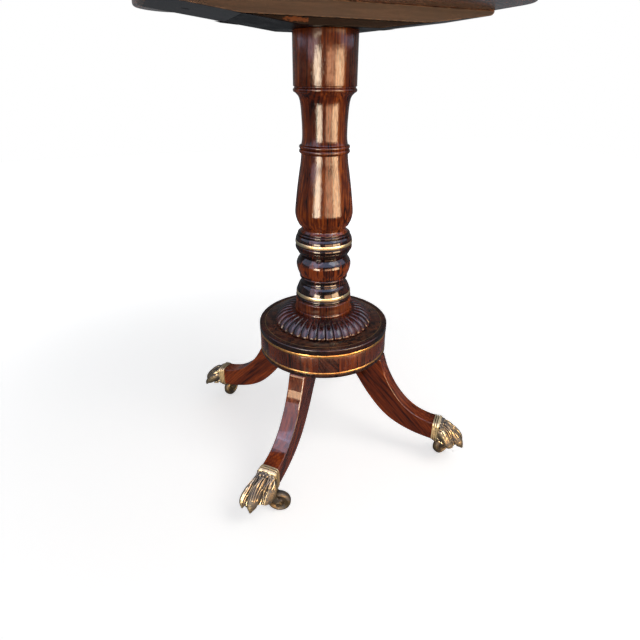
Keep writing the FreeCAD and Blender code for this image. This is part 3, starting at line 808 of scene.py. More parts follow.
def makeVase():
    runs = (((0.844, 0.0), (0.785, 0.022), (0.774, 0.039), (0.793, 0.062), (0.849, 0.083)),
            ((0.87, 0.086), (0.878, 0.092)),
            ((0.878, 0.092), (0.951, 0.148), (0.991, 0.207), (1.0, 0.258), (0.972, 0.371),
             (0.91, 0.555), (0.838, 0.734), (0.789, 0.844), (0.77, 0.922), (0.765, 0.941)),
            ((0.778, 0.945), (0.834, 0.973), (0.776, 1.0)))
    makeColumnLength("columnVase", "column_vase", runs, columnWood)


def makeHead():
    runs = (((0.791, 0.0), (0.841, 0.018), (0.796, 0.035)),
            ((0.767, 0.039), (0.739, 0.092), (0.735, 0.176), (0.752, 0.294), (0.785, 0.405),
             (0.839, 0.464), (0.939, 0.497)),
            ((0.943, 0.499), (1.007, 0.516), (0.976, 0.537)),
            ((0.967, 0.54), (0.967, 0.549)),
            ((1.0, 0.553), (1.0, 0.995)),
            ((0.985, 1.0), (0.95, 1.0)))
    makeColumnLength("columnHead", "column_head", runs, columnWood)


def makeBrassRing(name, node):
    # a half-round brass ring let into its groove
    ringShape = {"swell": 0.5 * mm, "depth": 2.9 * mm, "soft": 0.2 * mm}
    radius, low, high = nodeSpan(node)
    inner, outer = radius - ringShape["depth"], radius - ringShape["swell"]
    points = [(inner, low), *arcThrough((outer, low), (radius, (low + high) / 2), (outer, high), 8),
              (inner, high), (inner, low)]
    turnPiece(name, node, points, column["steps"], ringShape["soft"], ringBrass)


makeColumnFoot()
makeKnop()
makeVase()
makeHead()
makeBrassRing("brassRingUpper", "brass_ring_upper")
makeBrassRing("brassRingLower", "brass_ring_lower")
print("column turned")


def makeGadroon():
    # carved lobes round the foot of the column, fading into a plain ring at the top
    lobes = {"count": 36, "stepsEach": 14, "height": 23 * mm, "plainShare": 0.1, "fadeShare": 0.16,
             "depth": 2.3 * mm, "noseDepth": 3.0 * mm, "roundness": 2.2, "crownShare": 0.58,
             "crownRise": 0.84, "lip": 4 * mm, "arcSteps": 26, "level": 0.3 * mm, "centreOut": 0.1,
             "centreDrop": 0.35}
    radius, low = nodeSpan("gadroon_ring")[:2]
    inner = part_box("column_foot")[1].x
    spread = radius - inner
    height = lobes["height"]
    arc = arcThrough((inner, low + height),
                     (inner + spread * lobes["crownShare"], low + height * lobes["crownRise"]),
                     (radius, low + lobes["lip"]), lobes["arcSteps"])
    under = [(radius - 0.4 * mm, low + 2.2 * mm), (radius - 2 * mm, low + 0.5 * mm), (radius - 4 * mm, low)]
    points = [(inner, low), *arc, *under, (inner, low)]
    piece = turn("gadroonRing", points, lobes["count"] * lobes["stepsEach"])
    centreX, centreZ = inner + spread * lobes["centreOut"], low - height * lobes["centreDrop"]

    def carve(co):
        out = math.hypot(co.x, co.y)
        share = (out - inner) / spread
        if share < lobes["plainShare"] or co.z < low + lobes["level"]:
            return co
        angle = math.atan2(co.y, co.x) * lobes["count"] / (2 * math.pi)
        away = abs(2 * (angle - math.floor(angle)) - 1)     # 0 on a lobe's back, 1 in a groove
        back = 1 - math.sqrt(max(0.0, 1 - away ** lobes["roundness"]))
        depth = lobes["depth"] + (lobes["noseDepth"] - lobes["depth"]) * share
        depth *= eased((share - lobes["plainShare"]) / lobes["fadeShare"]) * back
        normal = Vector((out - centreX, co.z - centreZ)).normalized()
        scale = (out - depth * normal.x) / out
        return Vector((co.x * scale, co.y * scale, max(low, co.z - depth * normal.y)))

    moveVerts(piece, carve)
    shadeSmooth(piece, 50)
    finishPiece(piece, "root", carvedWood, "gadroon_ring")


makeGadroon()
print("gadroon ring carved")


# Platform

def makePlatform():
    board = {"steps": 160, "bore": 20.15 * mm, "arris": 1.6 * mm, "foot": 0.3 * mm, "string": 105 * mm,
             "stringWidth": 1.4 * mm, "stringDepth": 1.2 * mm, "topSoft": 0.15 * mm, "baseSoft": 0.3 * mm}
    ringShape = {"bandDepth": 2 * mm, "bandSwell": 0.35 * mm, "bandSoft": 0.15 * mm, "leaf": 1.6 * mm,
                 "leafSoft": 0.2 * mm}
    steps, bore, arris = board["steps"], board["bore"], board["arris"]
    radius, low, high = nodeSpan("platform_top")
    inner = board["string"] - board["stringWidth"] / 2
    outer = board["string"] + board["stringWidth"] / 2
    bite = high - board["stringDepth"]
    corner = arris * (1 - math.sqrt(0.5))
    rim = arcThrough((radius, high - arris), (radius - corner, high - corner), (radius - arris, high), 5)
    points = [(bore, low), (radius - board["foot"], low), (radius, low + board["foot"]), *rim, (outer, high),
              (outer, bite), (inner, bite), (inner, high), (bore, high), (bore, low)]
    turnPiece("platformTop", "platform_top", points, steps, board["topSoft"],
              platformWood)

    radius, low, high = nodeSpan("platform_base")
    points = [(bore, low), (radius - 2.2 * mm, low), (radius - 0.6 * mm, low + 0.7 * mm),
              (radius, low + 2.2 * mm), (radius, high), (bore, high), (bore, low)]
    turnPiece("platformBase", "platform_base", points, steps, board["baseSoft"],
              platformWood)

    for name, node in (("platformBandUpper", "platform_band_upper"),
                       ("platformBandLower", "platform_band_lower")):
        radius, low, high = nodeSpan(node)
        inner, outer = radius - ringShape["bandDepth"], radius - ringShape["bandSwell"]
        points = [(inner, low), *arcThrough((outer, low), (radius, (low + high) / 2), (outer, high), 6),
                  (inner, high), (inner, low)]
        turnPiece(name, node, points, steps, ringShape["bandSoft"], bandBrass)

    radius, low, high = nodeSpan("platform_veneer")
    inner = radius - ringShape["leaf"]
    points = [(inner, low), (radius, low), (radius, high), (inner, high), (inner, low)]
    turnPiece("platformVeneer", "platform_veneer", points, steps, ringShape["leafSoft"],
              veneerWood)


makePlatform()
print("platform made")


# Legs

legShape = {"width": 28 * mm, "arris": 1.2 * mm, "stations": 34, "plate": 115 * mm, "block": 60 * mm,
            "reach": 222 * mm, "top": 192 * mm, "ankle": 83 * mm, "ankleFoot": 47 * mm, "stub": 9.8 * mm,
            "stubDrop": 3 * mm}
legUpperShares = ((0.0, 1.0), (0.093, 0.736), (0.252, 0.455), (0.449, 0.227), (0.654, 0.086),
                  (0.841, 0.023), (1.0, 0.0))
legLowerShares = ((0.0, 0.822), (0.08, 0.705), (0.198, 0.507), (0.34, 0.315), (0.463, 0.192),
                  (0.605, 0.103), (0.765, 0.043), (0.883, 0.017), (1.0, 0.0))


def evenly(points, count):
    # the same line with its points at equal steps
    lengths = [0.0]
    for first, second in zip(points, points[1:]):
        lengths.append(lengths[-1] + math.dist(first, second))
    made = []
    index = 0
    for step in range(count + 1):
        want = lengths[-1] * step / count
        while index < len(points) - 2 and lengths[index + 1] < want:
            index += 1
        span = max(lengths[index + 1] - lengths[index], 1e-9)
        share = min(1.0, (want - lengths[index]) / span)
        made.append(Vector(points[index]).lerp(Vector(points[index + 1]), share))
    return made


def reachAcross(face):
    return max(vert.co.y for vert in face.verts) - min(vert.co.y for vert in face.verts)


def legEdge(shares, inner, foot):
    # one long edge of the board, at equal steps
    reach, rise = legShape["reach"] - inner, legShape["top"] - foot
    line = curveThrough([(inner + reach * out, foot + rise * up) for out, up in shares], 8)
    return evenly(line, legShape["stations"])


def makeLeg():
    # a board is extruded station by station along both edges of the curve
    shape = legShape
    over = legEdge(legUpperShares, shape["plate"], shape["ankle"])
    below = legEdge(legLowerShares, shape["block"], shape["ankleFoot"])
    stations = [(Vector((shape["block"], shape["top"])), below[0]), (over[0], below[0].lerp(below[1], 0.5))]
    stations += zip(over[1:], below[1:])
    stations.append((over[-1] + Vector((shape["stub"], -shape["stubDrop"])),
                     below[-1] + Vector((shape["stub"], 0))))
    clearSelection()
    bpy.ops.mesh.primitive_plane_add(size=shape["width"], location=(0, 0, 0))
    piece = bpy.context.object
    piece.name = "legPattern"
    mesh = editMesh(piece)
    for vert in mesh.verts:
        point = stations[0][0] if vert.co.x > 0 else stations[0][1]
        vert.co = Vector((point.x, math.copysign(shape["width"] / 2, vert.co.y), point.y))
    bmesh.update_edit_mesh(piece.data)
    bpy.ops.mesh.select_mode(type="FACE")
    bpy.ops.mesh.select_all(action="SELECT")
    for last, station in zip(stations, stations[1:]):
        stepTop = station[0] - last[0]
        stepFoot = station[1] - last[1]
        bpy.ops.mesh.extrude_region_move(TRANSFORM_OT_translate={"value": (stepTop.x, 0, stepTop.y)})
        mesh = bmesh.from_edit_mesh(piece.data)
        newVerts = sorted((vert for vert in mesh.verts if vert.select), key=lambda vert: vert.co.z)
        for vert in newVerts[:2]:
            vert.co += Vector((stepFoot.x - stepTop.x, 0, stepFoot.y - stepTop.y))
        bmesh.update_edit_mesh(piece.data)
    closeUp(piece)
    softenEdges(piece, shape["arris"], 3, 40, 40)
    wide = (shape["width"] - 2 * shape["arris"]) * 0.9

    def onEdge(face, side):
        return face.normal.z * side > 0.05 and abs(face.normal.y) < 0.01 and reachAcross(face) > wide

    for side in (1, -1):
        keepFlat(piece, shape["arris"], lambda face: face.normal.y * side > 0.999)
    for side in (1, -1):
        keepFlat(piece, shape["arris"], lambda face: onEdge(face, side))
    shadeSmooth(piece, 40)
    return piece


def carryGrain(piece, direction, turnBy, shift):
    # keeps each point's place in the board that the piece was sawn from
    grain = Vector((direction.x, 0, direction.y)).normalized()
    face = Vector((0, 1, 0))
    depth = grain.cross(face)
    back = Matrix.Rotation(-turnBy, 3, "Z")
    attribute = piece.data.attributes.new("grain", "FLOAT_VECTOR", "POINT")
    for vert, item in zip(piece.data.vertices, attribute.data):
        home = back @ vert.co
        item.vector = Vector((home.dot(face), home.dot(depth), home.dot(grain))) + shift


def legTurn(place):
    seat = joints["swivel_" + place]["pos_m"]
    return math.atan2(seat[1], seat[0])


def makeLegs():
    pattern = makeLeg()
    chord = Vector((legShape["reach"] - legShape["plate"], legShape["ankle"] - legShape["top"]))
    for index, place in enumerate(places):
        angle = legTurn(place)
        piece = copyPiece(pattern, "leg_" + place + "_wood", Matrix.Rotation(angle, 4, "Z"))
        carryGrain(piece, chord, angle, Vector((0.21, 0.13, 0.37)) * (index + 1))
        finishPiece(piece, "root", legWood, "leg_" + place)
    dropPiece(pattern)


makeLegs()
print("legs made")


# Bearer and top

def makeTop():
    board = {"corner": 57 * mm, "cornerSteps": 14, "upper": 7 * mm, "upperSteps": 6, "lower": 3 * mm,
             "lowerSteps": 4, "border": 1.5 * mm}
    hair = 0.01 * mm
    low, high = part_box("table_top")
    size = high - low
    piece = addBlock("tableTop", (low + high) / 2, size)
    editMesh(piece)
    choose(piece, "EDGE", lambda edge: abs(edge.verts[0].co.z - edge.verts[1].co.z) > size.z / 2)
    bpy.ops.mesh.bevel(offset=board["corner"], segments=board["cornerSteps"], affect="EDGES")
    choose(piece, "EDGE", lambda edge: min(vert.co.z for vert in edge.verts) > high.z - hair)
    bpy.ops.mesh.bevel(offset=board["upper"], segments=board["upperSteps"], affect="EDGES")
    choose(piece, "EDGE", lambda edge: max(vert.co.z for vert in edge.verts) < low.z + hair)
    bpy.ops.mesh.bevel(offset=board["lower"], segments=board["lowerSteps"], affect="EDGES")
    bpy.ops.object.mode_set(mode="OBJECT")
    closeUp(piece)
    for side in (-1, 1):
        keepFlat(piece, board["border"], lambda face: face.normal.z * side > 0.99)
    shadeSmooth(piece, 38)
    finishPiece(piece, "root", topWood, "table_top")


def makeBearer():
    # a board whose underside rises from a level seat to thin rounded tips, in two layers
    board = {"seat": 55 * mm, "tip": 6.5 * mm, "arris": 0.8 * mm, "broad": 4e-4}
    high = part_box("cross_bearer")[1]
    shoeLow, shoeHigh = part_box("bearer_shoe")
    half, width = high.x, high.y
    seat, tip, split = board["seat"], board["tip"], shoeHigh.z
    slope = (high.z - tip - shoeLow.z) / (half - tip - seat)
    reach = seat + (split - shoeLow.z) / slope
    end = []
    for angle in (0, 30, 60, 90):
        turned = math.radians(angle)
        end.append((half - tip * (1 - math.sin(turned)), high.z - tip * math.cos(turned)))
    upper = [(-reach, split), (reach, split), *end, *((-x, z) for x, z in reversed(end))]
    lower = [(-seat, shoeLow.z), (seat, shoeLow.z), (reach, split), (-reach, split)]
    for name, node, points, slotName, material in (
            ("crossBearer", "cross_bearer", upper, "raw_board", bearerWood),
            ("bearerShoe", "bearer_shoe", lower, "polished_rosewood", shoeWood)):
        piece = slab(name, points, -width, 2 * width, board["arris"], 2, 25, 30)
        for side in (1, -1):
            keepFlat(piece, board["arris"], lambda face: face.normal.y * side > 0.99)
        for side in (-1, 1):
            keepFlat(piece, board["arris"],
                     lambda face: face.normal.z * side > 0.9 and face.calc_area() > board["broad"])
        finishPiece(piece, "root", material, node)


makeTop()
makeBearer()
print("top and bearer made")


# Brass paws

pawShape = {"seat": 45 * mm, "pivot": 230 * mm, "swing": 38.5 * mm, "voxel": 0.6 * mm,
            "turns": 2, "askew": {"front_left": (-7, -0.3), "front_right": (-2, 0.35)}}
pawForm = {"foot": 45, "square": 3.2, "bandTo": 233.4}      # in millimetres


def tube(stations, count, squareness):
    # rings across X, each extruded from the last one; a station gives its centre, half width and half
    # height in millimetres, and a squareness above 2 gives the section flatter sides than an ellipse
    clearSelection()
    bpy.ops.mesh.primitive_circle_add(vertices=count, radius=1, fill_type="NOTHING")
    piece = bpy.context.object
    centre = Vector(stations[0][:3]) * mm
    wide, tall = stations[0][3] * mm, stations[0][4] * mm
    for vert in piece.data.vertices:
        c, s = vert.co.x, vert.co.y
        reach = (abs(c) ** squareness + abs(s) ** squareness) ** (-1 / squareness)
        vert.co = Vector((centre.x, centre.y + c * reach * wide, centre.z + s * reach * tall))
    editMesh(piece)
    bpy.ops.mesh.select_mode(type="VERT")
    bpy.ops.mesh.select_all(action="SELECT")
    for last, station in zip(stations, stations[1:]):
        centre = Vector(station[:3]) * mm
        bpy.ops.mesh.extrude_region_move(TRANSFORM_OT_translate={"value": centre - Vector(last[:3]) * mm})
        bpy.ops.transform.resize(value=(1, station[3] / last[3], station[4] / last[4]),
                                 center_override=centre)
    bpy.ops.object.mode_set(mode="OBJECT")
    return piece


def capTube(piece, count):
    editMesh(piece)
    for level in (0, len(piece.data.vertices) // count - 1):
        choose(piece, "VERT", lambda vert: vert.index // count == level)
        bpy.ops.mesh.edge_face_add()
    bpy.ops.mesh.select_all(action="SELECT")
    bpy.ops.mesh.normals_make_consistent(inside=False)
    bpy.ops.object.mode_set(mode="OBJECT")
    return piece


def strand(stations, count=12):
    # a tapered rod whose rings lean with its path
    piece = tube(stations, count, 2.0)
    centres = [Vector(station[:3]) * mm for station in stations]
    for index, vert in enumerate(piece.data.vertices):
        level = index // count
        before = centres[max(level - 1, 0)]
        after = centres[min(level + 1, len(centres) - 1)]
        lean = Matrix.Rotation(math.atan2(before.z - after.z, after.x - before.x), 3, "Y")
        vert.co = centres[level] + lean @ (vert.co - centres[level])
    return capTube(piece, count)


def pawBody():
    # sections of the foot behind the toes: distance out, half width, underside and top
    sections = ((222.5, 16.0, 45, 83.0), (230, 16.6, 45, 82.4), (236, 18.0, 45, 79.4), (243, 19.8, 45, 74),
                (249, 21.2, 44, 69.4), (255, 21.6, 43, 62.4), (261, 20, 40, 54.5), (266, 15.5, 38, 47.5),
                (269, 11, 37, 43))
    stations = [(out, 0, (low + high) / 2, half, (high - low) / 2) for out, half, low, high in sections]
    return capTube(tube(stations, 32, pawForm["square"]), 32)


def pawBand():
    # the reeded collar and the plain band with a scalloped edge: distance out, half width and top
    sections = ((221.0, 15.2, 83.4), (221.3, 16.8, 85.5), (223.3, 17.0, 85.6), (223.6, 15.2, 83.8),
                (224.9, 15.2, 83.8), (225.2, 17.1, 85.5), (227.2, 17.3, 85.4), (227.5, 15.5, 83.6),
                (228.6, 15.6, 83.4), (228.9, 17.4, 85.0), (232.2, 18.0, 84.2), (233.0, 17.4, 83.2),
                (233.2, 15.0, 79.0))
    band = {"count": 96, "square": 5.5, "scallops": 14, "scallopDepth": 1.2, "scallopFrom": 231, "middle": 65}
    foot = pawForm["foot"]
    stations = [(out, 0, (foot + top) / 2, half, (top - foot) / 2) for out, half, top in sections]
    piece = capTube(tube(stations, band["count"], band["square"]), band["count"])

    def scallop(co):
        if co.x < band["scallopFrom"] * mm:
            return co
        angle = math.atan2(co.z - band["middle"] * mm, co.y)
        wave = abs(math.cos(angle * band["scallops"] / 2))
        return co + Vector((band["scallopDepth"] * (wave - 0.4) * mm, 0, 0))

    moveVerts(piece, scallop)
    return piece


def mixRows(first, second, out):
    # the row at a distance out, which is the first value of every row
    share = (out - first[0]) / (second[0] - first[0])
    return [start + (end - start) * share for start, end in zip(first[1:], second[1:])]


def bodyTop(out, across):
    # height of the foot's upper surface, in millimetres, from its top and half width at each distance out
    line = ((222, 83.0, 16.0), (230, 82.4, 16.6), (236, 79.4, 18.0), (243, 74, 19.8), (249, 69.4, 21.2),
            (255, 62.4, 21.6), (261, 54.5, 21.5), (266, 47.5, 20), (277, 40, 18))
    for first, second in zip(line, line[1:]):
        if out <= second[0]:
            break
    high, half = mixRows(first, second, out)
    ratio = min(0.97, abs(across) / half)
    middle = (pawForm["foot"] + high) / 2
    return middle + (high - middle) * (1 - ratio ** pawForm["square"]) ** (1 / pawForm["square"])


# the middle toe and a side toe: distance out, across, height, half width and half height
toePaths = (((240, 0, 77, 4.5, 3.2), (247, 0, 72.2, 6.2, 4.6), (254, 0, 65.4, 7.6, 6.2),
             (260, 0, 58.6, 8.5, 7.2), (265.5, 0, 51.6, 8.8, 7.6), (269.5, 0, 46.4, 8.2, 7.0),
             (272.5, 0, 42.6, 6.8, 5.6), (274.6, 0, 40.2, 4.7, 4.0), (275.8, 0, 38.6, 3.0, 2.8),
             (277, 0, 36.8, 1.9, 1.8), (277.8, 0, 35.6, 0.9, 0.9)),
            ((231, 14.6, 67, 3.2, 5.5), (237, 15.8, 66, 5.0, 7.6), (243, 16.6, 62.6, 6.4, 8.6),
             (249.5, 17.2, 57.4, 7.3, 8.8), (255.5, 17.5, 51.6, 7.6, 8.0), (260.3, 17.5, 46.8, 7.1, 6.6),
             (263.6, 17.3, 43, 5.8, 5.2), (265.8, 17.1, 40.4, 4.2, 3.8), (267.2, 16.9, 38.6, 2.7, 2.5),
             (268.4, 16.7, 36.8, 1.7, 1.6), (269.2, 16.6, 35.6, 0.8, 0.8)))


def pawToes():
    # a long toe in the middle and one on each flank, each with its claw
    made = []
    for side, path in ((0, toePaths[0]), (-1, toePaths[1]), (1, toePaths[1])):
        path = [(out, side * across, up, wide, tall) for out, across, up, wide, tall in path]
        made.append(strand(path, 20))
    return made


def pawTop(out, across):
    # the upper surface with the toes' backs on it
    high = bodyTop(out, across)
    for path in toePaths:
        for first, second in zip(path, path[1:]):
            if first[0] <= out <= second[0]:
                side, up, wide, tall = mixRows(first, second, out)
                ratio = abs(abs(across) - side) / wide
                if ratio < 1:
                    high = max(high, up + tall * math.sqrt(1 - ratio * ratio))
    return high


def pawLocks():
    # long wavy locks from the band to the toes
    locks = {"across": (-16.4, -13.2, -9.9, -6.6, -3.3, 0.0, 3.3, 6.6, 9.9, 13.2, 16.4), "width": 1.5,
             "height": 2.1, "from": 233.5, "to": (254, 259, 262, 265, 269, 272, 269, 265, 262, 259, 254),
             "spread": 1.22, "sway": 1.0, "waves": 6, "phase": 1.7, "stations": 14, "lift": 0.5,
             "rootTaper": 0.12, "tipTaper": 0.92, "blunt": 0.6, "uneven": 0.15, "unevenPhase": 2.3}
    made = []
    for index, across in enumerate(locks["across"]):
        path = []
        for step in range(locks["stations"]):
            share = step / (locks["stations"] - 1)
            out = locks["from"] + (locks["to"][index] - locks["from"]) * share
            side = across * (1 + (locks["spread"] - 1) * share)
            side += locks["sway"] * math.sin(share * locks["waves"] + index * locks["phase"])
            along = locks["rootTaper"] + (locks["tipTaper"] - locks["rootTaper"]) * share
            body = math.sin(math.pi * along) ** locks["blunt"]
            wide = locks["width"] * body * (1.0 + locks["uneven"] * math.sin(index * locks["unevenPhase"]))
            path.append((out, side, pawTop(out, side) + locks["lift"], wide, locks["height"] * body))
        made.append(strand(path, 8))
    return made


# short tufts as steps from their roots: out, up, half width and half height
topTuft = ((-2.6, 0.6, 1.0, 0.8), (-1.2, 0.9, 2.2, 1.7), (0.8, 0.1, 2.6, 2.0), (2.4, -1.2, 2.0, 1.6),
           (3.6, -2.4, 0.8, 0.8))
flankTuft = ((-2.4, 1.6, 0.9, 1.0), (0, 0, 1.8, 2.2), (2.6, -1.4, 1.5, 1.7), (4.2, -2.6, 0.7, 0.8))


def pawTufts():
    # two rows over the roots of the locks, each with its distance out, count and gap, and three tufts on
    # each flank, with their distance out and height
    tufts = {"rows": ((233.6, 5, 6.4), (236.6, 6, 5.6)), "lift": 0.8,
             "flank": ((234.5, 54), (237.5, 49), (242.5, 48)), "flankFrom": 236, "flankAcross": 17.6,
             "flankSpread": 0.12}
    roots = []
    for out, count, gap in tufts["rows"]:
        for index in range(count):
            side = (index - (count - 1) / 2) * gap
            roots.append((topTuft, 10, out, side, bodyTop(out, side) + tufts["lift"]))
    for side in (-1, 1):
        for out, up in tufts["flank"]:
            across = tufts["flankAcross"] + (out - tufts["flankFrom"]) * tufts["flankSpread"]
            roots.append((flankTuft, 8, out, side * across, up))
    made = []
    for tuft, count, out, side, up in roots:
        path = [(out + along, side, up + rise, wide, tall) for along, rise, wide, tall in tuft]
        made.append(strand(path, count))
    return made


def chaseHair(piece):
    # fine wavy grooves that run on over the toes, almost to the claws; lengths in millimetres
    chased = {"gap": 2.9, "deep": 0.3, "from": 240, "to": 273, "low": 39, "flank": 19, "wave": 1.2,
              "narrow": 0.006, "rootFade": 8, "tipFade": 5, "lowFade": 7, "flankFade": 3}
    normals = [vert.normal.copy() for vert in piece.data.vertices]
    for vert, normal in zip(piece.data.vertices, normals):
        out, across, up = vert.co / mm
        fade = unit(1.6 * (normal.z + 0.6 * normal.x))
        for room, length in ((out - chased["from"], chased["rootFade"]),
                             (chased["to"] - out, chased["tipFade"]),
                             (up - chased["low"], chased["lowFade"]),
                             (chased["flank"] - abs(across), chased["flankFade"])):
            fade *= unit(room / length)
        sway = chased["wave"] * math.sin(out / 5.5 + across / 4)
        gap = chased["gap"] / (1 - chased["narrow"] * (out - chased["from"]))
        vert.co += normal * (chased["deep"] * mm * fade * math.sin(2 * math.pi * across / gap + sway))
    piece.data.update()


def makePaw():
    piece = joinPieces([pawBody(), *pawToes(), *pawLocks(), *pawTufts()], "pawPattern")
    castTogether(piece, pawShape["voxel"], pawShape["turns"])
    chaseHair(piece)
    return piece


def clearSwing(piece):
    # leaves room for the castor to turn under the paw
    clearSelection()
    bpy.ops.mesh.primitive_cylinder_add(vertices=96, radius=pawShape["swing"], depth=2 * pawShape["seat"],
                                        location=(pawShape["pivot"], 0, 0))
    swing = bpy.context.object
    settle(swing)
    applyModifier(piece, "BOOLEAN", operation="DIFFERENCE", solver="EXACT", object=swing)
    dropPiece(swing)


def carryRelief(piece, amount=1.0):
    # how far each point stands above or below the smoothed form, in steps of a fifth of a millimetre
    relief = {"step": 0.2 * mm, "most": 1.5, "turns": 24}
    rough = [vert.co.copy() for vert in piece.data.vertices]
    applyModifier(piece, "SMOOTH", factor=0.5, iterations=relief["turns"])
    attribute = piece.data.attributes.new("relief", "FLOAT", "POINT")
    for vert, start, item in zip(piece.data.vertices, rough, attribute.data):
        rise = (start - vert.co).dot(vert.normal) / relief["step"]
        item.value = amount * max(-relief["most"], min(relief["most"], rise))
    for vert, start in zip(piece.data.vertices, rough):
        vert.co = start
    piece.data.update()


def bendPaw(piece, shift, lean):
    # sets the toes askew, and leaves the band in line with the leg
    start, length = 238 * mm, 30 * mm

    def bend(co):
        share = eased((co.x - start) / length)
        return co + Vector((lean * co.y * share, shift * mm * share, 0))

    moveVerts(piece, bend)


def carryPatina(piece, turnBy):
    # old grey on the hair, darkest at its roots, rubbed on the flanks and toes, and bright on the band
    worn = {"age": 0.98, "root": 0.2, "rub": 0.36, "band": 0.68, "rootAt": 238, "rootLength": 8,
            "flankFrom": 14.5, "flankTo": 19, "lowFrom": 60, "lowTo": 40, "lowShare": 0.8, "collarTo": 231.6}
    back = Matrix.Rotation(-turnBy, 3, "Z")
    patina = piece.data.attributes.new("patina", "FLOAT", "POINT")
    matt = piece.data.attributes.new("matt", "FLOAT", "POINT")
    for vert, item, soft in zip(piece.data.vertices, patina.data, matt.data):
        home = back @ vert.co / mm
        flank = unit((abs(home.y) - worn["flankFrom"]) / (worn["flankTo"] - worn["flankFrom"]))
        low = unit((worn["lowFrom"] - home.z) / (worn["lowFrom"] - worn["lowTo"]))
        onTop = home.x < pawForm["bandTo"] and home.z > bodyTop(home.x, 0) - 2
        band = 1.0 if onTop or home.x < worn["collarTo"] else 0.0
        root = max(0.0, 1 - abs(home.x - worn["rootAt"]) / worn["rootLength"])
        soft.value = band
        item.value = (worn["age"] + worn["root"] * root * (1 - flank) * (1 - band)
                      - worn["rub"] * max(flank, worn["lowShare"] * low) - worn["band"] * band)


def makePaws():
    pattern = makePaw()
    collar = pawBand()
    carryRelief(collar, 0.8)
    for place in places:
        angle = legTurn(place)
        piece = copyPiece(pattern, "paw_" + place + "_cast")
        bendPaw(piece, *pawShape["askew"].get(place, (0, 0)))
        clearSwing(piece)
        carryRelief(piece)
        piece = joinPieces([piece, copyPiece(collar, "pawCollar")], "paw_" + place + "_cast")
        shadeSmooth(piece, 42)
        piece.data.transform(Matrix.Rotation(angle, 4, "Z"))
        carryPatina(piece, angle)
        finishPiece(piece, "root", pawBrass, "paw_" + place)
        print("paw faces:", len(piece.data.polygons))
    dropPiece(pattern)
    dropPiece(collar)


makePaws()
print("paws cast")


# Castors, modelled with the pivot on the axis and the wheel trailing along X

castorShape = {"trail": 17 * mm, "wheel": 19 * mm, "width": 13 * mm, "axle": 2.36 * mm, "hub": 5.2 * mm,
               "hubProud": 0.5 * mm, "rim": 5.6 * mm, "dish": 3.8 * mm, "steps": 72}


def inMillimetres(points):
    return [(out * mm, up * mm) for out, up in points]


def makeWheel():
    # turned round Y at the origin, then laid in its fork
    s = castorShape
    half, r, dish = s["width"] / 2, s["wheel"], s["dish"]
    rim = r - s["rim"]
    face = -half - s["hubProud"] + 0.6 * mm
    points = [(s["axle"], face), (s["hub"] - 1.2 * mm, face), (s["hub"], -half + dish * 0.8),
              (s["hub"] + 1.5 * mm, -half + dish), (rim - 1.8 * mm, -half + dish),
              (rim - 0.6 * mm, -half + dish * 0.5), (rim + 0.8 * mm, -half + 0.4 * mm),
              (rim + 2.6 * mm, -half), (r - 2.4 * mm, -half + 0.5 * mm), (r - 0.9 * mm, -half + 1.8 * mm),
              (r - 0.15 * mm, -half + 3.8 * mm), (r, 0)]
    points += [(out, -across) for out, across in reversed(points[:-1])]
    points.append(points[0])
    piece = turn("wheelPattern", points, s["steps"])
    softenEdges(piece, 0.3 * mm, 2, 34, 40)
    piece.data.transform(Matrix.Rotation(math.radians(90), 4, "X"))
    piece.data.transform(Matrix.Translation((s["trail"], 0, s["wheel"])))
    return piece


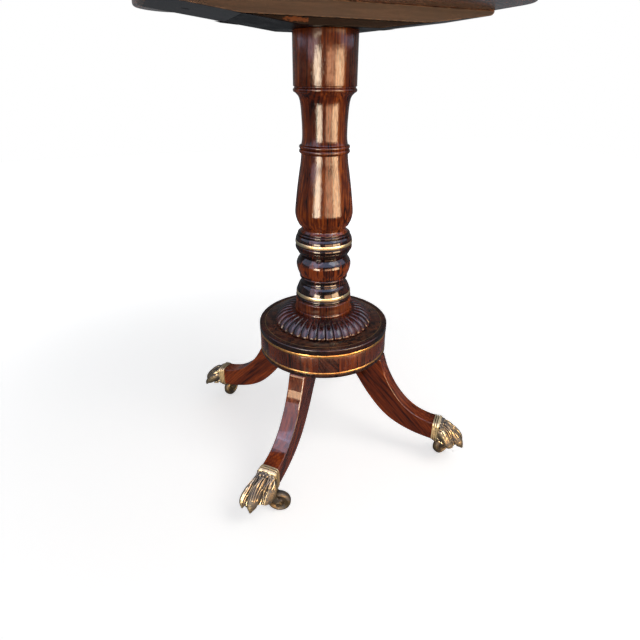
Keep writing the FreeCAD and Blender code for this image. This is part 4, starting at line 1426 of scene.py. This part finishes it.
def makeHorn():
    # a round crown with two cheeks that sweep back and down to the axle
    cheek = {"thick": 2.6 * mm, "half": 9.8 * mm, "eye": 5.5 * mm, "soft": 0.7 * mm, "nose": -2 * mm,
             "inset": 0.4 * mm, "back": 10.5 * mm,
             "rear": ((13.2, 39), (15.4, 33), (19.5, 26.5), (22.5, 19.4)),
             "front": ((11.3, 20.5), (9.8, 27), (5.4, 33.4), (0.5, 37.5))}
    crown = {"foot": 39 * mm, "top": 43 * mm, "soft": 0.3 * mm}
    boss = {"profile": ((4.6, 0), (4.4, 0.9), (3.4, 1.4)), "height": 1.5 * mm, "sunk": 0.7 * mm, "steps": 40}
    web = {"centre": (5 * mm, 0, 41 * mm), "size": (13 * mm, 18.6 * mm, 3.4 * mm), "soft": 1.1 * mm}
    casting = {"voxel": 0.35 * mm, "turns": 5}
    s = castorShape
    axle, eyeX, eyeZ = s["axle"], s["trail"], s["wheel"]
    top = crown["top"] - cheek["inset"]
    rear = curveThrough([(cheek["back"], top), *inMillimetres(cheek["rear"])], 4)
    eye = arcThrough((eyeX + cheek["eye"], eyeZ), (eyeX, eyeZ - cheek["eye"]),
                     (eyeX - cheek["eye"], eyeZ), 10)
    front = curveThrough([*inMillimetres(cheek["front"]), (cheek["nose"], crown["foot"] + cheek["inset"])], 4)
    points = [*rear, *eye[1:], *front, (cheek["nose"], top)]
    made = []
    for side in (-1, 1):
        outer, thick = side * cheek["half"], side * cheek["thick"]
        made.append(slab("hornCheek", points, outer - thick, thick, cheek["soft"], 3, 30, 50))
        profile = [(axle, 0), *inMillimetres(boss["profile"]), (axle, boss["height"]), (axle, 0)]
        piece = turn("hornBoss", profile, boss["steps"])
        piece.data.transform(Matrix.Rotation(math.radians(-90 * side), 4, "X"))
        piece.data.transform(Matrix.Translation((eyeX, outer - side * boss["sunk"], eyeZ)))
        made.append(piece)
    foot, top = crown["foot"], crown["top"]
    profile = [(0, foot), (8.6 * mm, foot), (9.6 * mm, foot + 0.9 * mm), (9.8 * mm, foot + 2 * mm),
               (9.4 * mm, top - 0.7 * mm), (8.4 * mm, top), (0, top)]
    piece = turn("hornCrown", profile, 48)
    softenEdges(piece, crown["soft"])
    made.append(piece)
    piece = addBlock("hornWeb", web["centre"], web["size"])
    softenEdges(piece, web["soft"], 3, 30, 50)
    made.append(piece)
    piece = joinPieces(made, "hornPattern")
    castTogether(piece, casting["voxel"], casting["turns"])
    shadeSmooth(piece, 60)
    return piece


def castorMatrix(place):
    seat = Vector(joints["swivel_" + place]["pos_m"])
    axle = Vector(joints["roll_" + place]["pos_m"])
    angle = math.atan2(axle.y - seat.y, axle.x - seat.x)
    return Matrix.Translation((seat.x, seat.y, 0)) @ Matrix.Rotation(angle, 4, "Z")


def makeCastors():
    wheel = makeWheel()
    horn = makeHorn()
    print("horn faces:", len(horn.data.polygons))
    for place in places:
        matrix = castorMatrix(place)
        piece = copyPiece(wheel, "castorWheel_" + place, matrix)
        finishPiece(piece, "wheel_" + place, castorBrass, "castor_wheel_" + place)
        piece = copyPiece(horn, "castorHorn_" + place, matrix)
        finishPiece(piece, "horn_" + place, castorBrass, "castor_horn_" + place)
    dropPiece(wheel)
    dropPiece(horn)


makeCastors()
print("castors made")


# The model's own pieces that stay as they are

def dressNodes():
    dress = {"platform_string": stringBrass, "platform_core": blockWood, "leg_block": blockWood,
             "bearer_plugs": shoeWood, "bearer_screws": steel, "block_screws": steel}
    for place in places:
        dress["castor_pivot_" + place] = castorBrass
        dress["castor_axle_" + place] = castorBrass
    for name, material in dress.items():
        node = frame["nodes"][name]
        for slot in node.material_slots:
            slot.material = material


dressNodes()
print("kept nodes dressed")


# Floor, light and camera

studio = {"floor": 8.0, "floorColour": (0.86, 0.86, 0.87, 1), "floorLift": 0.588, "nearFloor": 0.35,
          "farFloor": 1.7, "floorShine": 0.1, "shineColour": (0.72, 0.84, 1.0, 1), "fill": 0.3,
          "fillColour": (0.93, 0.96, 1.0, 1), "horizon": 0.2, "ceiling": 0.08, "skyFrom": 0.1, "skyTo": 0.34}
white = (1, 1, 1, 1)


def mirrored(tree, path):
    # 1 for what is seen in a reflection or through glass
    return calc(tree, "MAXIMUM", path.outputs["Is Glossy Ray"], path.outputs["Is Transmission Ray"])


def makeFloor():
    clearSelection()
    bpy.ops.mesh.primitive_plane_add(size=studio["floor"], location=(0, 0, 0))
    floor = bpy.context.object
    floor.name = "studioFloor"
    material, tree, shader = newMaterial("floorPaint")
    out = tree.nodes["Material Output"]
    feed(tree, shader, {"Base Color": studio["floorColour"], "Roughness": 0.9, "Specular IOR Level": 0.0})
    path = addNode(tree, "LightPath")
    away = addNode(tree, "VectorMath", {0: objectVector(tree)}, operation="LENGTH").outputs["Value"]
    # painted shade: the floor's glow to the camera is weaker near the table, greying the floor round it, and
    # full white far away
    level = remap(tree, away, studio["nearFloor"], studio["farFloor"], studio["floorLift"], 1.0)
    glow = addNode(tree, "Emission", {"Color": studio["shineColour"], "Strength": studio["floorShine"]})
    seen = times(tree, path.outputs["Is Camera Ray"], level)
    lift = addNode(tree, "Emission", {"Color": white, "Strength": seen})
    lit = addNode(tree, "AddShader", {0: shader.outputs[0], 1: lift.outputs[0]})
    both = addNode(tree, "MixShader", {0: mirrored(tree, path), 1: lit.outputs[0], 2: glow.outputs[0]})
    tree.links.new(both.outputs[0], out.inputs["Surface"])
    floor.data.materials.append(material)


def makeWorld():
    # white to the camera, and a pale horizon under a darker ceiling in reflections
    world = bpy.data.worlds.new("studioWorld")
    bpy.context.scene.world = world
    world.use_nodes = True
    tree = world.node_tree
    tree.nodes.clear()
    out = tree.nodes.new("ShaderNodeOutputWorld")
    path = addNode(tree, "LightPath")
    height = addNode(tree, "SeparateXYZ", {0: addNode(tree, "TexCoord").outputs["Generated"]}).outputs[2]
    mirror = remap(tree, height, studio["skyFrom"], studio["skyTo"], studio["horizon"], studio["ceiling"])
    strength = addNode(tree, "Mix", {0: mirrored(tree, path), 2: studio["fill"], 3: mirror},
                       data_type="FLOAT").outputs[0]
    strength = addNode(tree, "Mix", {0: path.outputs["Is Camera Ray"], 2: strength, 3: 1.0},
                       data_type="FLOAT").outputs[0]
    tint = mixColours(tree, path.outputs["Is Camera Ray"], studio["fillColour"], white)
    back = addNode(tree, "Background", {"Color": tint, "Strength": strength})
    tree.links.new(back.outputs[0], out.inputs["Surface"])


# azimuth from the camera's side, to its right, then elevation, distance, height aimed at, width, height,
# radiance and tint; the key and the fill light the piece, and the others are seen in the polish alone
softboxes = {
    "keyRight": (62, 48, 2.0, 0.3, 1.1, 1.1, 3.4, (1.0, 0.95, 0.88)),
    "fillFront": (8, 22, 2.0, 0.3, 1.4, 1.0, 0.8, (1.0, 0.92, 0.84)),
    "skyLeft": (-44, 46, 1.5, 0.2, 0.95, 1.95, 2.3, (1.0, 0.72, 0.88)),
    "skyFront": (5, 50, 1.7, 0.3, 2.8, 1.3, 2.4, (0.5, 0.62, 1.0)),
    "skyRight": (82, 42, 1.7, 0.3, 1.8, 1.6, 1.6, (0.6, 0.7, 1.0)),
    "skySide": (-88, 42, 1.7, 0.3, 1.4, 1.6, 1.4, (0.6, 0.7, 1.0)),
    "shineLeft": (-26, 0, 1.8, 0.42, 0.74, 0.76, 21.0, (1.0, 0.8, 0.58)),
    "shineLeg": (-41, 2, 1.8, 0.36, 0.2, 0.2, 10.0, (1.0, 0.66, 0.4)),
    "shineMiddle": (19, 0, 1.8, 0.42, 0.85, 0.76, 8.6, (1.0, 0.5, 0.27)),
    "shineRight": (51, 0, 1.8, 0.42, 1.0, 0.76, 17.0, (1.0, 0.66, 0.38)),
}


def makeLights():
    cameraSide = math.radians(247)
    for name, (azimuth, elevation, distance, aim, width, height, radiance, tint) in softboxes.items():
        angle, lift = cameraSide + math.radians(azimuth), math.radians(elevation)
        away = Vector((math.cos(angle) * math.cos(lift), math.sin(angle) * math.cos(lift), math.sin(lift)))
        data = bpy.data.lights.new(name, "AREA")
        data.shape = "RECTANGLE"
        data.size = width
        data.size_y = height
        data.energy = radiance * width * height * math.pi
        data.color = tint
        lamp = bpy.data.objects.new(name, data)
        bpy.context.collection.objects.link(lamp)
        lamp.location = Vector((0, 0, aim)) + away * distance
        lamp.rotation_euler = (-away).to_track_quat("-Z", "Y").to_euler()
        lamp.visible_camera = False
        lamp.visible_diffuse = name in ("keyRight", "fillFront")
        lamp.visible_glossy = name != "fillFront"


def makeCamera():
    view = {"place": (-0.2907, -0.6849, 0.633), "tilt": 62.26, "turn": -22.57, "roll": 0.3, "lens": 25.82}
    data = bpy.data.cameras.new("photoCamera")
    data.lens = view["lens"]
    data.sensor_width = 36
    data.clip_start = 0.01
    camera = bpy.data.objects.new("photoCamera", data)
    bpy.context.collection.objects.link(camera)
    turnTo = (Matrix.Rotation(math.radians(view["turn"]), 4, "Z")
              @ Matrix.Rotation(math.radians(view["tilt"]), 4, "X")
              @ Matrix.Rotation(math.radians(view["roll"]), 4, "Z"))
    camera.matrix_world = Matrix.Translation(view["place"]) @ turnTo
    bpy.context.scene.camera = camera


makeFloor()
makeWorld()
makeLights()
makeCamera()
bpy.context.scene.view_settings.view_transform = "Standard"
print("stage made")
